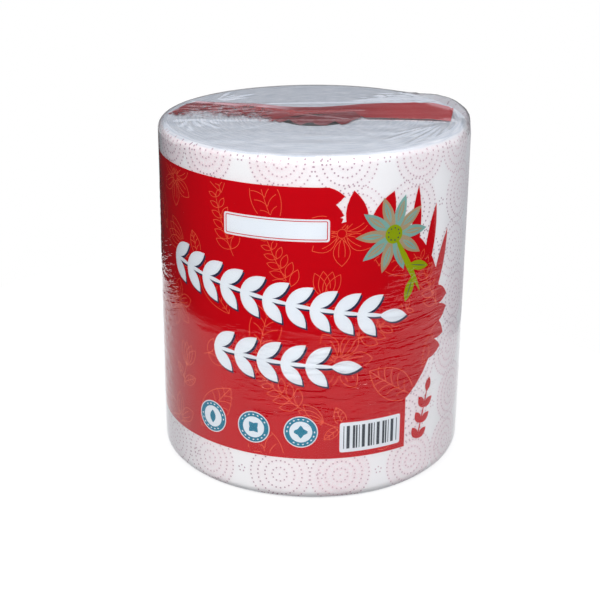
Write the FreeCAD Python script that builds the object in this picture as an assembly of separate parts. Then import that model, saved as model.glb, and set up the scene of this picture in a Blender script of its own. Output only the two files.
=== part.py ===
"""A maxi roll of paper towel in its shrink-film wrap, standing on end.

The origin is at the centre of the base, with +Z up the roll's axis. The middle of the printed
front faces -Y. Lengths are millimetres and angles are degrees.

The pieces, from the inside out: the cardboard core tube, the wound paper web, the clear film
that is folded shut over both ends, and the inks printed on the film, one node to a colour.
"""
import FreeCAD, Part
import math
import os
from collections import namedtuple

# Paper web and core tube
SHEET_WIDTH = 225.0        # width of the web, so the height of the wound paper
ROLL_RADIUS = 100.0        # outside of the last turn
CORE_BORE_RADIUS = 24.0    # inside of the cardboard tube
CORE_WALL = 1.2
CORE_RECESS = 1.0          # how far each tube end lies inside the paper
TOP_ROUND = 5.0            # how far the last turns are pressed round at the top rim
BASE_ROUND = 6.5
BUNDLE_WIDTH = 11.0        # turns that were wound at one setting, and end at one height
BUNDLE_STEP = 0.5          # the most that one bundle's end lies below the highest
BUNDLE_RHYTHM = 137.5      # how far the bundles' up-and-down moves on from one to the next
TAIL_STEP = 0.4            # thickness of the loose end of the last turn
TAIL_TURN = 140.0          # where that loose end lies, from the front

# Shrink film
FILM_THICKNESS = 0.3
FILM_EASE = 0.1            # air between the paper and the film
TOP_SAG = 4.0              # how far the film sags into the bore at each end
BASE_SAG = 2.5
SAG_LIP = 6.0              # radius of the film's bend over the bore's edge
SEAM_WIDTH = 12.0          # overlap of the film down the back
SEAM_MARGIN = 9.0          # length of film without the overlap, at each end
FLAP_WIDTH = 46.0          # folded and sealed end of the film, laid across the top
FLAP_MARGIN = 10.0         # from each end of the flap to the roll's outside
FLAP_SHIFT = 11.0          # how far the flap's middle lies behind the axis
FLAP_CORNER = 4.0
TUCK_DEPTH = 34.0          # how far the two side tucks reach in from the ends of the flap
TUCK_SPREAD = 72.0         # width of each tuck at the rim

# Red ink
INK_THICKNESS = 0.15
FLAP_INK_MARGIN = 2.0      # clear film round the red on the flap
RED_TOP_MARGIN = 19.0      # clear film above the red field
RED_BASE_MARGIN = 30.0     # clear film below it
RED_START_TURN = -152.0    # the field's straight left edge
RED_STEP_TURN = 5.0        # where its straight top edge ends
SWELL_TURN = 17.0          # middle of the oval that carries the field on to the right
SWELL_REACH = 58.0         # half of the oval's width
SWELL_TRIM = 21.0          # how much less it reaches up and down than half of the field
SWELL_SHARE = 0.506
FOOT_TURN = 36.0           # right edge of the low part of the field, under the oval
FOOT_RISE = 45.0
BORDER_PITCH = 13.0        # between the small leaves at the right of the oval
BORDER_LEAF = (24.0, 13.0)
BORDER_ROOT = 15.0         # how much of each leaf lies inside the oval
BORDER_SWING = 15.0        # how far the leaves lean to either side by turns
BORDER_START = 6.0         # where on the oval the leaves start and end, up from its right side
BORDER_END = -24.0
CREST_LEAF = (34.0, 14.0)
CREST_ROOT = 16.0
CRESTS = ((94.0, 98.0), (78.0, 66.0))                 # where on the oval, and how far up it leans
BLADE_LEAF = (50.0, 7.5)
BLADE_ROOT = 20.0
BLADES = ((52.0, 88.0), (36.0, 80.0), (18.0, 72.0))

# White, navy and dark inks
PLATE_SIZE = (65.0, 14.0)
PLATE_CORNER = 1.5
LEAF_OPENING = 42.0        # angle between a leaf and its stalk
STALK_OVERLAP = 1.3        # length of each joint of a stalk, in pitches
SHADE_SHIFT = (1.1, -1.3)  # how far the navy shade lies to the right of the white and up from it
BADGE_RADIUS = 10.8
BADGE_EDGE = 0.7           # white line round the badge
BADGE_RING = 2.9           # width of its teal ring
BADGE_LEAF = (9.0, 4.6)
BADGE_COUNT = 3
BADGE_STEP_TURN = 17.5
PANEL_SIZE = (41.4, 20.5)
PANEL_MARGIN = 2.4         # white round the bars
BAR_MODULE = 0.5           # width of the thinnest bar
BAR_WIDEST = 4             # the widest, in modules

# Flower
PETAL_COUNT = 10
PETAL_LEAF = (25.0, 7.6)
EYE_RADIUS = 6.0
FLOWER_ANGLE = 70.0        # where on the oval the flower stands
FLOWER_INSET = 8.0         # how far its middle lies below the oval's edge there
STEM_LEAF = (46.0, 4.2)
STEM_LEAN = -62.0
STEM_LEAVES = ((24.0, 1), (33.0, -1))   # (distance along the stem, side) of each leaf on it
STEM_LEAF_OPENING = 48.0
SIDE_LEAF = (17.0, 6.4)

# Places on the front: the turn from the front's middle, and a share of the red field's height
Place = namedtuple("Place", "turn share")
PLATE_PLACE = Place(-13.8, 0.85)
BADGE_PLACE = Place(-39.1, 0.105)
PANEL_PLACE = Place(21.8, 0.08)

# Sprigs: how far up a stalk leans, how long it is, its leaves' size and pitch, and its thickness
Sprig = namedtuple("Sprig", "lean length leaf pitch stalk")
UPPER_SPRIG = Sprig(-9.5, 148.0, (20.0, 8.6), 14.8, 2.6)
UPPER_SPRIG_ROOT = Place(-60.0, 0.67)
LOWER_SPRIG = Sprig(-4.0, 77.0, (20.0, 8.6), 15.4, 2.6)
LOWER_SPRIG_ROOT = Place(-38.0, 0.385)
TWIG = Sprig(76.0, 31.5, (10.0, 5.4), 10.5, 1.2)
TWIG_ROOT = Place(42.5, 0.012)

def vector(x, y, z):
    """A FreeCAD point or direction."""
    return FreeCAD.Vector(x, y, z)


ORIGIN = vector(0, 0, 0)
UP = vector(0, 0, 1)
FRONT = -90.0              # direction of the front's middle, counted up from +X round the axis
FULL_TURN = 360.0

# Levels and radii that follow from the sizes
PAPER_BASE_Z = FILM_THICKNESS + FILM_EASE
PAPER_TOP_Z = PAPER_BASE_Z + SHEET_WIDTH
FILM_BASE_Z = FILM_THICKNESS
FILM_TOP_Z = PAPER_TOP_Z + FILM_EASE
FILM_RADIUS = ROLL_RADIUS + FILM_EASE
CORE_RADIUS = CORE_BORE_RADIUS + CORE_WALL
TOP_BEND = (ROLL_RADIUS - TOP_ROUND, PAPER_TOP_Z - TOP_ROUND)
BASE_BEND = (ROLL_RADIUS - BASE_ROUND, PAPER_BASE_Z + BASE_ROUND)
FLAP_LENGTH = 2 * (ROLL_RADIUS - FLAP_MARGIN)
RED_BASE_Z = RED_BASE_MARGIN
RED_HEIGHT = FILM_TOP_Z + FILM_THICKNESS - RED_TOP_MARGIN - RED_BASE_Z
SWELL_RISE = RED_HEIGHT / 2 - SWELL_TRIM
ON_FILM = FILM_THICKNESS
ON_FLAP = 2 * FILM_THICKNESS
ON_RED = ON_FILM + INK_THICKNESS
PAST = 5.0                 # how far a cutting body runs past what it cuts


# ---------------------------------------------------------------- outlines to turn round the axis
def straight(points):
    """Straight edges from each point to the next, without those of no length."""
    pairs = zip(points, points[1:])
    return [Part.LineSegment(a, b).toShape() for a, b in pairs if not a.isEqual(b, 1e-6)]


def rim(centre, radius, side):
    """The rim's quarter arc and its two ends; side is 1 at the top and -1 at the base."""
    x, z = centre
    slant = radius * math.sqrt(0.5)
    inner = vector(x, 0, z + side * radius)
    outer = vector(x + radius, 0, z)
    return inner, outer, Part.Arc(inner, vector(x + slant, 0, z + side * slant), outer).toShape()


def turned(edges):
    """The solid that a closed outline in the XZ plane makes when it turns round the axis."""
    outline = Part.Wire(Part.sortEdges(edges)[0])
    return Part.Face(outline).revolve(ORIGIN, UP, FULL_TURN)


def sag(depth, level, side, offset):
    """The film's sag into the paper's bore: its point on the axis, its outer end and its two arcs.

    level is the height of the film's flat part at offset 0. Every offset's arcs have the same
    centres, so that a layer has one thickness. side is 1 at the top and -1 at the base.
    """
    centres = (CORE_RADIUS ** 2 + depth ** 2) / (2 * depth)
    lean = math.asin(CORE_RADIUS / centres)
    bowl = centres - SAG_LIP - offset
    lip = SAG_LIP + offset
    bowl_z = level + side * (centres - SAG_LIP - depth)
    lip_z = level - side * SAG_LIP

    def on_bowl(angle):
        return vector(bowl * math.sin(angle), 0, bowl_z - side * bowl * math.cos(angle))

    def on_lip(angle):
        return vector(CORE_RADIUS - lip * math.sin(angle), 0, lip_z + side * lip * math.cos(angle))

    bowl_arc = Part.Arc(on_bowl(0), on_bowl(lean / 2), on_bowl(lean)).toShape()
    lip_arc = Part.Arc(on_lip(lean), on_lip(lean / 2), on_lip(0)).toShape()
    return on_bowl(0), on_lip(0), [bowl_arc, lip_arc]


def wrapped_body(offset):
    """Everything inside the film's inner face, grown by offset."""
    top_middle, top_lip, top_sag = sag(TOP_SAG, FILM_TOP_Z, 1, offset)
    base_middle, base_lip, base_sag = sag(BASE_SAG, FILM_BASE_Z, -1, offset)
    top_inner, top_outer, top_arc = rim(TOP_BEND, FILM_RADIUS + offset - TOP_BEND[0], 1)
    base_inner, base_outer, base_arc = rim(BASE_BEND, FILM_RADIUS + offset - BASE_BEND[0], -1)
    return turned(
        top_sag + base_sag + [top_arc, base_arc]
        + straight([top_lip, top_inner]) + straight([top_outer, base_outer])
        + straight([base_inner, base_lip]) + straight([base_middle, top_middle])
    )


def skin(below, thickness):
    """The layer of one thickness that follows the film, starting below over its inner face."""
    return wrapped_body(below + thickness).cut(wrapped_body(below))


# ---------------------------------------------------------------- paper and core
def wound_end(level, side):
    """The stepped points of one wound end from the core outwards, a step to each bundle."""
    room = ROLL_RADIUS - max(TOP_ROUND, BASE_ROUND) - CORE_RADIUS
    count = max(1, round(room / BUNDLE_WIDTH))
    points = []
    for index in range(count):
        wave = math.sin(math.radians(index * BUNDLE_RHYTHM))
        height = level - side * BUNDLE_STEP * (1 - wave) / 2
        points.append(vector(CORE_RADIUS + room * index / count, 0, height))
        points.append(vector(CORE_RADIUS + room * (index + 1) / count, 0, height))
    points.append(vector(points[-1].x, 0, level))
    return points


def tail_sliver():
    """What the last turn's loose end leaves out: deepest at the end, gone a quarter turn on."""
    foot = vector(0, 0, -PAST)
    height = PAPER_TOP_Z + 2 * PAST
    shifted = Part.makeCylinder(ROLL_RADIUS, height, foot - vector(TAIL_STEP, 0, 0))
    quarter = Part.makeCylinder(ROLL_RADIUS + PAST, height, foot, UP, 90)
    sliver = quarter.cut(shifted)
    sliver.rotate(ORIGIN, UP, TAIL_TURN + FRONT)
    return sliver


def paper_roll():
    """The wound web, one solid, with its bundles of turns at both ends and its loose tail."""
    top = wound_end(PAPER_TOP_Z, 1)
    base = wound_end(PAPER_BASE_Z, -1)
    top_inner, top_outer, top_arc = rim(TOP_BEND, TOP_ROUND, 1)
    base_inner, base_outer, base_arc = rim(BASE_BEND, BASE_ROUND, -1)
    return turned(
        [top_arc, base_arc] + straight(top + [top_inner]) + straight(base + [base_inner])
        + straight([top_outer, base_outer]) + straight([top[0], base[0]])
    ).cut(tail_sliver())


def core_tube():
    """The cardboard tube that the web is wound on."""
    foot = vector(0, 0, PAPER_BASE_Z + CORE_RECESS)
    length = SHEET_WIDTH - 2 * CORE_RECESS
    bore = Part.makeCylinder(CORE_BORE_RADIUS, length, foot)
    return Part.makeCylinder(CORE_RADIUS, length, foot).cut(bore)


# ---------------------------------------------------------------- film
def over_the_top(face):
    """An upright prism over a flat shape of the XZ plane, laid where the flap lies."""
    laid = face.copy()
    laid.rotate(ORIGIN, vector(1, 0, 0), -90)
    laid.translate(vector(0, FLAP_SHIFT, TOP_BEND[1]))
    return laid.extrude(vector(0, 0, TOP_ROUND + PAST))


def flap_prism(inset):
    """The flap's prism, drawn in by inset all round."""
    size = (FLAP_LENGTH - 2 * inset, FLAP_WIDTH - 2 * inset)
    return over_the_top(rectangle(size, FLAP_CORNER))


def tuck_prism(side):
    """The prism over one of the side tucks; side is 1 at the +X end and -1 at the other."""
    rim_x = side * FLAP_LENGTH / 2
    corners = [(rim_x, -TUCK_SPREAD / 2), (rim_x, TUCK_SPREAD / 2), (rim_x - side * TUCK_DEPTH, 0)]
    return over_the_top(polygon(corners))


def film_wrap():
    """The clear film: a shut skin round the roll, doubled at its seam, flap and tucks."""
    seam_foot = vector(-SEAM_WIDTH / 2, 0, SEAM_MARGIN)
    seam = Part.makeBox(SEAM_WIDTH, ROLL_RADIUS + PAST, FILM_TOP_Z - 2 * SEAM_MARGIN, seam_foot)
    second_layer = skin(FILM_THICKNESS, FILM_THICKNESS)
    bodies = [seam, flap_prism(0), tuck_prism(1), tuck_prism(-1)]
    doubled = [second_layer.common(body) for body in bodies]
    return skin(0, FILM_THICKNESS).multiFuse(doubled).removeSplitter()


# ---------------------------------------------------------------- flat shapes in the XZ plane
def polygon(corners):
    """A flat shape with straight sides between (x, z) corners."""
    points = [vector(x, 0, z) for x, z in corners]
    return Part.Face(Part.makePolygon(points + points[:1]))


def rectangle(size, corner):
    """A rectangle about the origin with round corners."""
    reach_x, reach_z = size[0] / 2 - corner, size[1] / 2 - corner
    edges = []
    ends = []
    middles = ((reach_x, reach_z), (-reach_x, reach_z), (-reach_x, -reach_z), (reach_x, -reach_z))
    for quarter, (x, z) in enumerate(middles):
        angles = [math.pi / 2 * (quarter + share) for share in (0, 0.5, 1)]
        arc = [vector(x + corner * math.cos(a), 0, z + corner * math.sin(a)) for a in angles]
        edges.append(Part.Arc(*arc).toShape())
        ends.append(arc)
    for arc, following in zip(ends, ends[1:] + ends[:1]):
        edges += straight([arc[-1], following[0]])
    return Part.Face(Part.Wire(Part.sortEdges(edges)[0]))


def disc(radius):
    """A disc about the origin."""
    return Part.Face(Part.Wire(Part.makeCircle(radius, ORIGIN, vector(0, 1, 0))))


def oval(half_width, half_height):
    """An ellipse about the origin. Its curve asks for the end of the longer half first."""
    side, top = vector(half_width, 0, 0), vector(0, 0, half_height)
    ends = (top, side) if half_height > half_width else (side, -top)
    return Part.Face(Part.Wire(Part.Ellipse(*ends, ORIGIN).toShape()))


def leaf(size, lean, start=0.0):
    """A pointed leaf of two arcs on a line that leans up from +X and starts that far along it."""
    length, width = size
    root, tip = vector(start, 0, 0), vector(start + length, 0, 0)
    above, below = vector(start + length / 2, 0, width / 2), vector(start + length / 2, 0, -width / 2)
    arcs = [Part.Arc(root, above, tip).toShape(), Part.Arc(tip, below, root).toShape()]
    face = Part.Face(Part.Wire(arcs))
    face.rotate(ORIGIN, vector(0, -1, 0), lean)
    return face


# ---------------------------------------------------------------- printing on the front
def stamp(face, place, shift=(0.0, 0.0)):
    """A prism through the front film over a flat shape whose origin is moved to a place."""
    front = face.copy()
    front.translate(vector(shift[0], 0, shift[1]))
    reach = max(abs(front.BoundBox.XMin), abs(front.BoundBox.XMax))
    near = FILM_RADIUS + PAST
    far = math.sqrt(max(ROLL_RADIUS ** 2 - reach ** 2, 0)) - PAST
    front.translate(vector(0, -near, RED_BASE_Z + place.share * RED_HEIGHT))
    prism = front.extrude(vector(0, near - far, 0))
    prism.rotate(ORIGIN, UP, place.turn)
    return prism


def joined(bodies):
    """One body of all the bodies in a list."""
    return bodies[0].multiFuse(bodies[1:]) if len(bodies) > 1 else bodies[0]


def moved(place, lean, distance):
    """The place that lies a distance from another, in the direction that leans up from +X."""
    angle = math.radians(lean)
    turn = place.turn + math.degrees(distance * math.cos(angle) / ROLL_RADIUS)
    return Place(turn, place.share + distance * math.sin(angle) / RED_HEIGHT)


def sprig(kind, root, shift=(0.0, 0.0)):
    """A stalk from its root, with two leaves at every pitch and one leaf at its tip."""
    count = max(2, round(kind.length / kind.pitch))
    joint = (STALK_OVERLAP * kind.length / count, kind.stalk)
    tip = moved(root, kind.lean, kind.length)
    stamps = [stamp(leaf(kind.leaf, kind.lean), tip, shift)]
    for index in range(count):
        place = moved(root, kind.lean, kind.length * index / count)
        stamps.append(stamp(leaf(joint, kind.lean), place, shift))
        for side in (1, -1):
            face = leaf(kind.leaf, kind.lean + side * LEAF_OPENING)
            stamps.append(stamp(face, place, shift))
    return stamps


def white_sprigs(shift=(0.0, 0.0)):
    """The two white sprigs across the front."""
    return sprig(UPPER_SPRIG, UPPER_SPRIG_ROOT, shift) + sprig(LOWER_SPRIG, LOWER_SPRIG_ROOT, shift)


def on_swell(angle):
    """A place on the red oval's edge, and the direction out of the oval there."""
    at = math.radians(angle)
    x, z = SWELL_REACH * math.cos(at), SWELL_RISE * math.sin(at)
    outward = math.degrees(math.atan2(z / SWELL_RISE ** 2, x / SWELL_REACH ** 2))
    turn = SWELL_TURN + math.degrees(math.asin(x / ROLL_RADIUS))
    return Place(turn, SWELL_SHARE + z / RED_HEIGHT), outward


def crest(size, root, ends):
    """Leaves of one size that stand on the oval, from how far up it and how far up they lean."""
    return [stamp(leaf(size, lean, -root), on_swell(angle)[0]) for angle, lean in ends]


def border():
    """The small leaves down the right of the red oval."""
    around = math.radians(BORDER_START - BORDER_END) * (SWELL_REACH + SWELL_RISE) / 2
    count = max(1, round(around / BORDER_PITCH))
    stamps = []
    for index in range(count + 1):
        place, outward = on_swell(BORDER_START + (BORDER_END - BORDER_START) * index / count)
        lean = outward + (BORDER_SWING if index % 2 else -BORDER_SWING)
        stamps.append(stamp(leaf(BORDER_LEAF, lean, -BORDER_ROOT), place))
    return stamps


def band(start_turn, end_turn, height, past):
    """A body that takes in the film between two turns, up to a height over the field's lower edge."""
    foot = vector(0, 0, RED_BASE_Z - past)
    body = Part.makeCylinder(FILM_RADIUS + PAST + past, height + past, foot, UP, end_turn - start_turn)
    body.rotate(ORIGIN, UP, start_turn + FRONT)
    return body


def red_field():
    """The field that runs round the roll, with its oval, its leaves and the twig beside it."""
    fields = [
        band(RED_START_TURN, RED_STEP_TURN, RED_HEIGHT, 0),
        band(RED_START_TURN / 2, FOOT_TURN, FOOT_RISE, PAST),
        stamp(oval(SWELL_REACH, SWELL_RISE), Place(SWELL_TURN, SWELL_SHARE)),
    ]
    leaves = crest(CREST_LEAF, CREST_ROOT, CRESTS) + crest(BLADE_LEAF, BLADE_ROOT, BLADES) + border()
    below_edge = Part.makeCylinder(2 * ROLL_RADIUS, RED_BASE_Z + ROLL_RADIUS, -ROLL_RADIUS * UP)
    return [joined(fields + leaves + sprig(TWIG, TWIG_ROOT)).cut(below_edge)]


def badges():
    """The badges' white discs, and the teal rings and leaves that lie in them."""
    whites, teals = [], []
    ring = disc(BADGE_RADIUS - BADGE_EDGE).cut(disc(BADGE_RADIUS - BADGE_EDGE - BADGE_RING)).Faces[0]
    for index in range(BADGE_COUNT):
        place = Place(BADGE_PLACE.turn + index * BADGE_STEP_TURN, BADGE_PLACE.share)
        whites.append(stamp(disc(BADGE_RADIUS), place))
        teals.append(stamp(ring, place))
        for blade in range(index + 1):
            lean = 90 + LEAF_OPENING * (index - 2 * blade)
            teals.append(stamp(leaf(BADGE_LEAF, lean, -BADGE_LEAF[0] / 2), place))
    return whites, teals


def bars():
    """The dark bars on the panel, in uneven widths."""
    length, height = (size - 2 * PANEL_MARGIN for size in PANEL_SIZE)
    stamps = []
    x = -length / 2
    index = 0
    while x < length / 2:
        width = BAR_MODULE * (1 + (3 * index * index + index) // 2 % BAR_WIDEST)
        if index % 2 == 0:
            end = min(x + width, length / 2)
            corners = [(x, -height / 2), (end, -height / 2), (end, height / 2), (x, height / 2)]
            stamps.append(stamp(polygon(corners), PANEL_PLACE))
        x += width
        index += 1
    return stamps


def flower():
    """The flower's green, and its two colours of petals by turns."""
    middle = moved(on_swell(FLOWER_ANGLE)[0], -90, FLOWER_INSET)
    green = [stamp(disc(EYE_RADIUS), middle), stamp(leaf(STEM_LEAF, STEM_LEAN), middle)]
    slope = math.radians(STEM_LEAN)
    for distance, side in STEM_LEAVES:
        root = (distance * math.cos(slope), distance * math.sin(slope))
        face = leaf(SIDE_LEAF, STEM_LEAN + side * STEM_LEAF_OPENING)
        green.append(stamp(face, middle, root))
    petals = [
        stamp(leaf(PETAL_LEAF, FULL_TURN * index / PETAL_COUNT), middle) for index in range(PETAL_COUNT)
    ]
    return green, petals[::2], petals[1::2]


def printed(colours, below):
    """A solid of ink for each colour on one surface, each colour left out where one before it is.

    colours maps a node's name to its stamps, and below is the surface's distance over the film's
    inner face.
    """
    free = skin(below, INK_THICKNESS)
    solids = {}
    for name, stamps in colours.items():
        area = joined(stamps)
        solids[name] = free.common(area).removeSplitter()
        free = free.cut(area)
    return solids


def inks():
    """Every ink on the film, by node."""
    green, aqua, tan = flower()
    badge_whites, badge_teals = badges()
    panel = stamp(rectangle(PANEL_SIZE, PLATE_CORNER), PANEL_PLACE)
    plate = stamp(rectangle(PLATE_SIZE, PLATE_CORNER), PLATE_PLACE)
    on_film = {"red_ink": red_field()}
    on_red = {
        "green_ink": green,
        "aqua_ink": aqua,
        "tan_ink": tan,
        "dark_ink": bars(),
        "teal_ink": badge_teals,
        "white_ink": white_sprigs() + badge_whites + [panel, plate],
        "navy_ink": white_sprigs(SHADE_SHIFT),
    }
    solids = {**printed(on_film, ON_FILM), **printed(on_red, ON_RED)}
    solids["flap_ink"] = skin(ON_FLAP, INK_THICKNESS).common(flap_prism(FLAP_INK_MARGIN))
    return solids


def main():
    """Builds every node and writes its STEP file."""
    os.makedirs("parts", exist_ok=True)
    nodes = {"paper_roll": paper_roll(), "core_tube": core_tube(), "film_wrap": film_wrap(), **inks()}
    for name, shape in nodes.items():
        shape.exportStep(f"parts/{name}.step")
        print(f"{name}: {len(shape.Solids)} solids, {shape.Volume:.0f} mm3, valid {shape.isValid()}")


main()
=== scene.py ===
"""The looks of a maxi roll of paper towel in printed shrink film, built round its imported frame.

Lengths are metres, +Z is up and the printed front faces -Y. A turn is an angle in degrees round
the roll's axis, counted from the middle of the front towards +X. What lies on the side is drawn
on the unrolled side, where across is the arc from the middle of the front and up is the height.
"""
import logging
import math
from dataclasses import dataclass, field
from enum import Enum
from functools import reduce
from itertools import chain
from typing import Any, Callable, Iterable, Sequence

import bpy
import numpy as np
from mathutils import Matrix, Vector
from mathutils.geometry import delaunay_2d_cdt


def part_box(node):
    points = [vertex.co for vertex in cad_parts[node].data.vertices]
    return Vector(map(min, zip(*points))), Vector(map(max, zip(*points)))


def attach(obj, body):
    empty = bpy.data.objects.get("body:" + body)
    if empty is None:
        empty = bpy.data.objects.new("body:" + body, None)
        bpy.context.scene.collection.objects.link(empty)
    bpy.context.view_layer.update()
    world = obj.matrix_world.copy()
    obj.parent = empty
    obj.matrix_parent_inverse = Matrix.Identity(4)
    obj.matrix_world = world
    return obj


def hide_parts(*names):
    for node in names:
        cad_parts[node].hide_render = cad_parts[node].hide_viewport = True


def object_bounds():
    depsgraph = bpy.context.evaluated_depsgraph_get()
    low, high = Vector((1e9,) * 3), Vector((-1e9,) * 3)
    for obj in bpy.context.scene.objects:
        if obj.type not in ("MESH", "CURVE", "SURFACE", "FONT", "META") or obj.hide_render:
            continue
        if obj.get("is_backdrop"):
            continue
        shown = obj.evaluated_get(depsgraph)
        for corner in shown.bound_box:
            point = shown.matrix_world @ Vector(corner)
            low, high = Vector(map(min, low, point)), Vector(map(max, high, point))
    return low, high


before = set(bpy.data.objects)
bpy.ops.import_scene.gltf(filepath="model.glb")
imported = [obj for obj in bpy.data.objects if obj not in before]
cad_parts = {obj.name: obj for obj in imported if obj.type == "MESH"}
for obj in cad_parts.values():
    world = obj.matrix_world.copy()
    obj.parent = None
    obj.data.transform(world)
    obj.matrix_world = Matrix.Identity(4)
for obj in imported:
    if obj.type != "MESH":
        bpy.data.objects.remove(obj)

LOG = logging.getLogger("paper_towel_roll")
MM = 0.001
FULL_TURN = 360.0
CAD_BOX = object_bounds()

Point = tuple[float, float]
Outline = list[Point]
Colour = tuple[float, float, float]


# ---------------------------------------------------------------- shader wiring
class Shade:
    """A number that varies over a surface, on which Python arithmetic adds Math nodes."""

    def __init__(self, wiring: "Wiring", socket: bpy.types.NodeSocket) -> None:
        """Wraps one output socket."""
        self.wiring, self.socket = wiring, socket

    def math(self, operation: str, *others: "Shade | float") -> "Shade":
        """The result of a Math node with this number first and the others after it."""
        inputs = dict(enumerate((self, *others)))
        return self.wiring.number("Math", {"operation": operation}, inputs)

    def __add__(self, other: "Shade | float") -> "Shade":
        """self + other"""
        return self.math("ADD", other)

    def __sub__(self, other: "Shade | float") -> "Shade":
        """self - other"""
        return self.math("SUBTRACT", other)

    def __rsub__(self, other: float) -> "Shade":
        """other - self"""
        return self * -1.0 + other

    def __mul__(self, other: "Shade | float") -> "Shade":
        """self * other"""
        return self.math("MULTIPLY", other)

    def __truediv__(self, other: "Shade | float") -> "Shade":
        """self / other"""
        return self.math("DIVIDE", other)

    __radd__ = __add__
    __rmul__ = __mul__

    def between(self, low: float, high: float) -> "Shade":
        """Rises smoothly from 0 at low to 1 at high, or falls if low is the greater."""
        inputs = {"Value": self, "From Min": low, "From Max": high}
        return self.wiring.number("MapRange", {"interpolation_type": "SMOOTHSTEP"}, inputs)

    def within(self, start: Point, end: Point) -> "Shade":
        """1 in a band in millimetres that fades in over the start and out over the end."""
        return self.between(start[0] * MM, start[1] * MM) * self.between(end[1] * MM, end[0] * MM)


Input = Shade | bpy.types.NodeSocket | float | Sequence[float]


class Wiring:
    """Adds and links the nodes of one material or world."""

    def __init__(self, owner: bpy.types.Material | bpy.types.World) -> None:
        """Starts on an empty tree.

        Args:
            owner: what the nodes belong to.
        """
        owner.use_nodes = True
        self.owner, self.tree = owner, owner.node_tree
        self.tree.nodes.clear()

    def node(
        self, kind: str, settings: dict[str, Any] | None = None, inputs: dict[Any, Input] | None = None
    ) -> Any:
        """Adds one node.

        Args:
            kind: the node's type, without its first word.
            settings: its properties, which are set first.
            inputs: the value or link of each socket, by name or number.

        Returns:
            The new node's output sockets.
        """
        made = self.tree.nodes.new(f"ShaderNode{kind}")
        for name, value in (settings or {}).items():
            setattr(made, name, value)
        for name, value in (inputs or {}).items():
            socket, value = made.inputs[name], value.socket if isinstance(value, Shade) else value
            if isinstance(value, bpy.types.NodeSocket):
                self.tree.links.new(value, socket)
            else:
                socket.default_value = (*value, 1.0) if socket.type == "RGBA" else value
        return made.outputs

    def number(self, kind: str, settings: dict[str, Any] | None, inputs: dict[Any, Input]) -> Shade:
        """The number that a new node gives."""
        return Shade(self, self.node(kind, settings, inputs)[0])

    def mix(self, share: Input, first: Input, second: Input) -> bpy.types.NodeSocket:
        """The colour that goes from the first to the second as share goes from 0 to 1."""
        return self.node("Mix", {"data_type": "RGBA"}, {0: share, 6: first, 7: second})[2]

    def place(self) -> bpy.types.NodeSocket:
        """The surface point in the frame, in metres."""
        return self.node("TexCoord")["Object"]

    def parts(self, vector: bpy.types.NodeSocket) -> Iterable[Shade]:
        """The three numbers of a vector."""
        return (Shade(self, part) for part in self.node("SeparateXYZ", None, {0: vector}))

    def vector(self, x: Input, y: Input, z: Input) -> bpy.types.NodeSocket:
        """A vector of three numbers."""
        return self.node("CombineXYZ", None, {0: x, 1: y, 2: z})[0]

    def unrolled(self, radius: float) -> tuple[Shade, Shade]:
        """A side point's across and up, in metres."""
        x, y, z = self.parts(self.place())
        return x.math("ARCTAN2", y * -1.0) * radius, z

    def noise(self, where: bpy.types.NodeSocket, swells: float, detail: float = 2.0) -> Shade:
        """Smooth noise from 0 to 1, with that many swells a metre."""
        return self.number("TexNoise", None, {"Vector": where, "Scale": swells, "Detail": detail})

    def bump(self, height: Shade, distance: float, strength: float = 1.0) -> bpy.types.NodeSocket:
        """A normal from a height of 0 to 1 that stands for so many metres."""
        return self.node("Bump", None, {"Height": height, "Distance": distance, "Strength": strength})[0]

    def seen(self) -> Shade:
        """Tells what the camera looks at from what only lights things.

        Returns:
            1 where the camera looks, also by way of gloss or clear stuff, and 0 elsewhere.
        """
        path = self.node("LightPath")
        looks = [Shade(self, path[f"Is {ray} Ray"]) for ray in ("Camera", "Glossy", "Transmission")]
        return looks[0].math("MAXIMUM", looks[1]).math("MAXIMUM", looks[2])

    def principled(self, inputs: dict[str, Input]) -> bpy.types.NodeSocket:
        """A Principled shader."""
        return self.node("BsdfPrincipled", None, inputs)[0]

    def finish(self, shader: bpy.types.NodeSocket) -> bpy.types.Material | bpy.types.World:
        """Sends a shader to the output, and gives back the material or world."""
        self.node(f"Output{type(self.owner).__name__}", None, {"Surface": shader})
        return self.owner


def new_wiring(name: str) -> Wiring:
    """The wiring of a new material."""
    return Wiring(bpy.data.materials.new(name))


# ---------------------------------------------------------------- shape of the roll
@dataclass(frozen=True)
class Swell:
    """Seeded smooth noise from -1 to 1, with one size of swell across and another up."""

    seed: int
    across: float
    up: float
    round_turns: bool = False
    cells: int = 160

    def at(self, across: np.ndarray, up: np.ndarray) -> np.ndarray:
        """The noise at points of a surface.

        Args:
            across: first coordinates, in metres, or turns for noise that closes round the roll.
            up: second coordinates, in metres.

        Returns:
            One value for each point.
        """
        columns = round(math.tau * SHAPE.radius / self.across) if self.round_turns else self.cells
        table = np.random.default_rng(self.seed).uniform(-1, 1, (columns, self.cells))
        x = across / FULL_TURN * columns if self.round_turns else across / self.across
        y = up / self.up
        left, low = np.floor(x).astype(int), np.floor(y).astype(int)
        ease_x, ease_y = (np.square(t) * (3 - 2 * t) for t in (x - left, y - low))
        lower, upper = (
            table[left % columns, level] * (1 - ease_x) + table[(left + 1) % columns, level] * ease_x
            for level in (low % self.cells, (low + 1) % self.cells)
        )
        return lower * (1 - ease_y) + upper * ease_y


def rise(values: np.ndarray, low: float, high: float) -> np.ndarray:
    """Rises smoothly from 0 at low to 1 at high, or falls if low is the greater."""
    share = np.clip((values - low) / (high - low), 0, 1)
    return share * share * (3 - 2 * share)


def window(values: np.ndarray, low: float, high: float, soft: float) -> np.ndarray:
    """1 from low to high, with soft edges that reach outside."""
    return rise(values, low - soft, low) * rise(values, high + soft, high)


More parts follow.
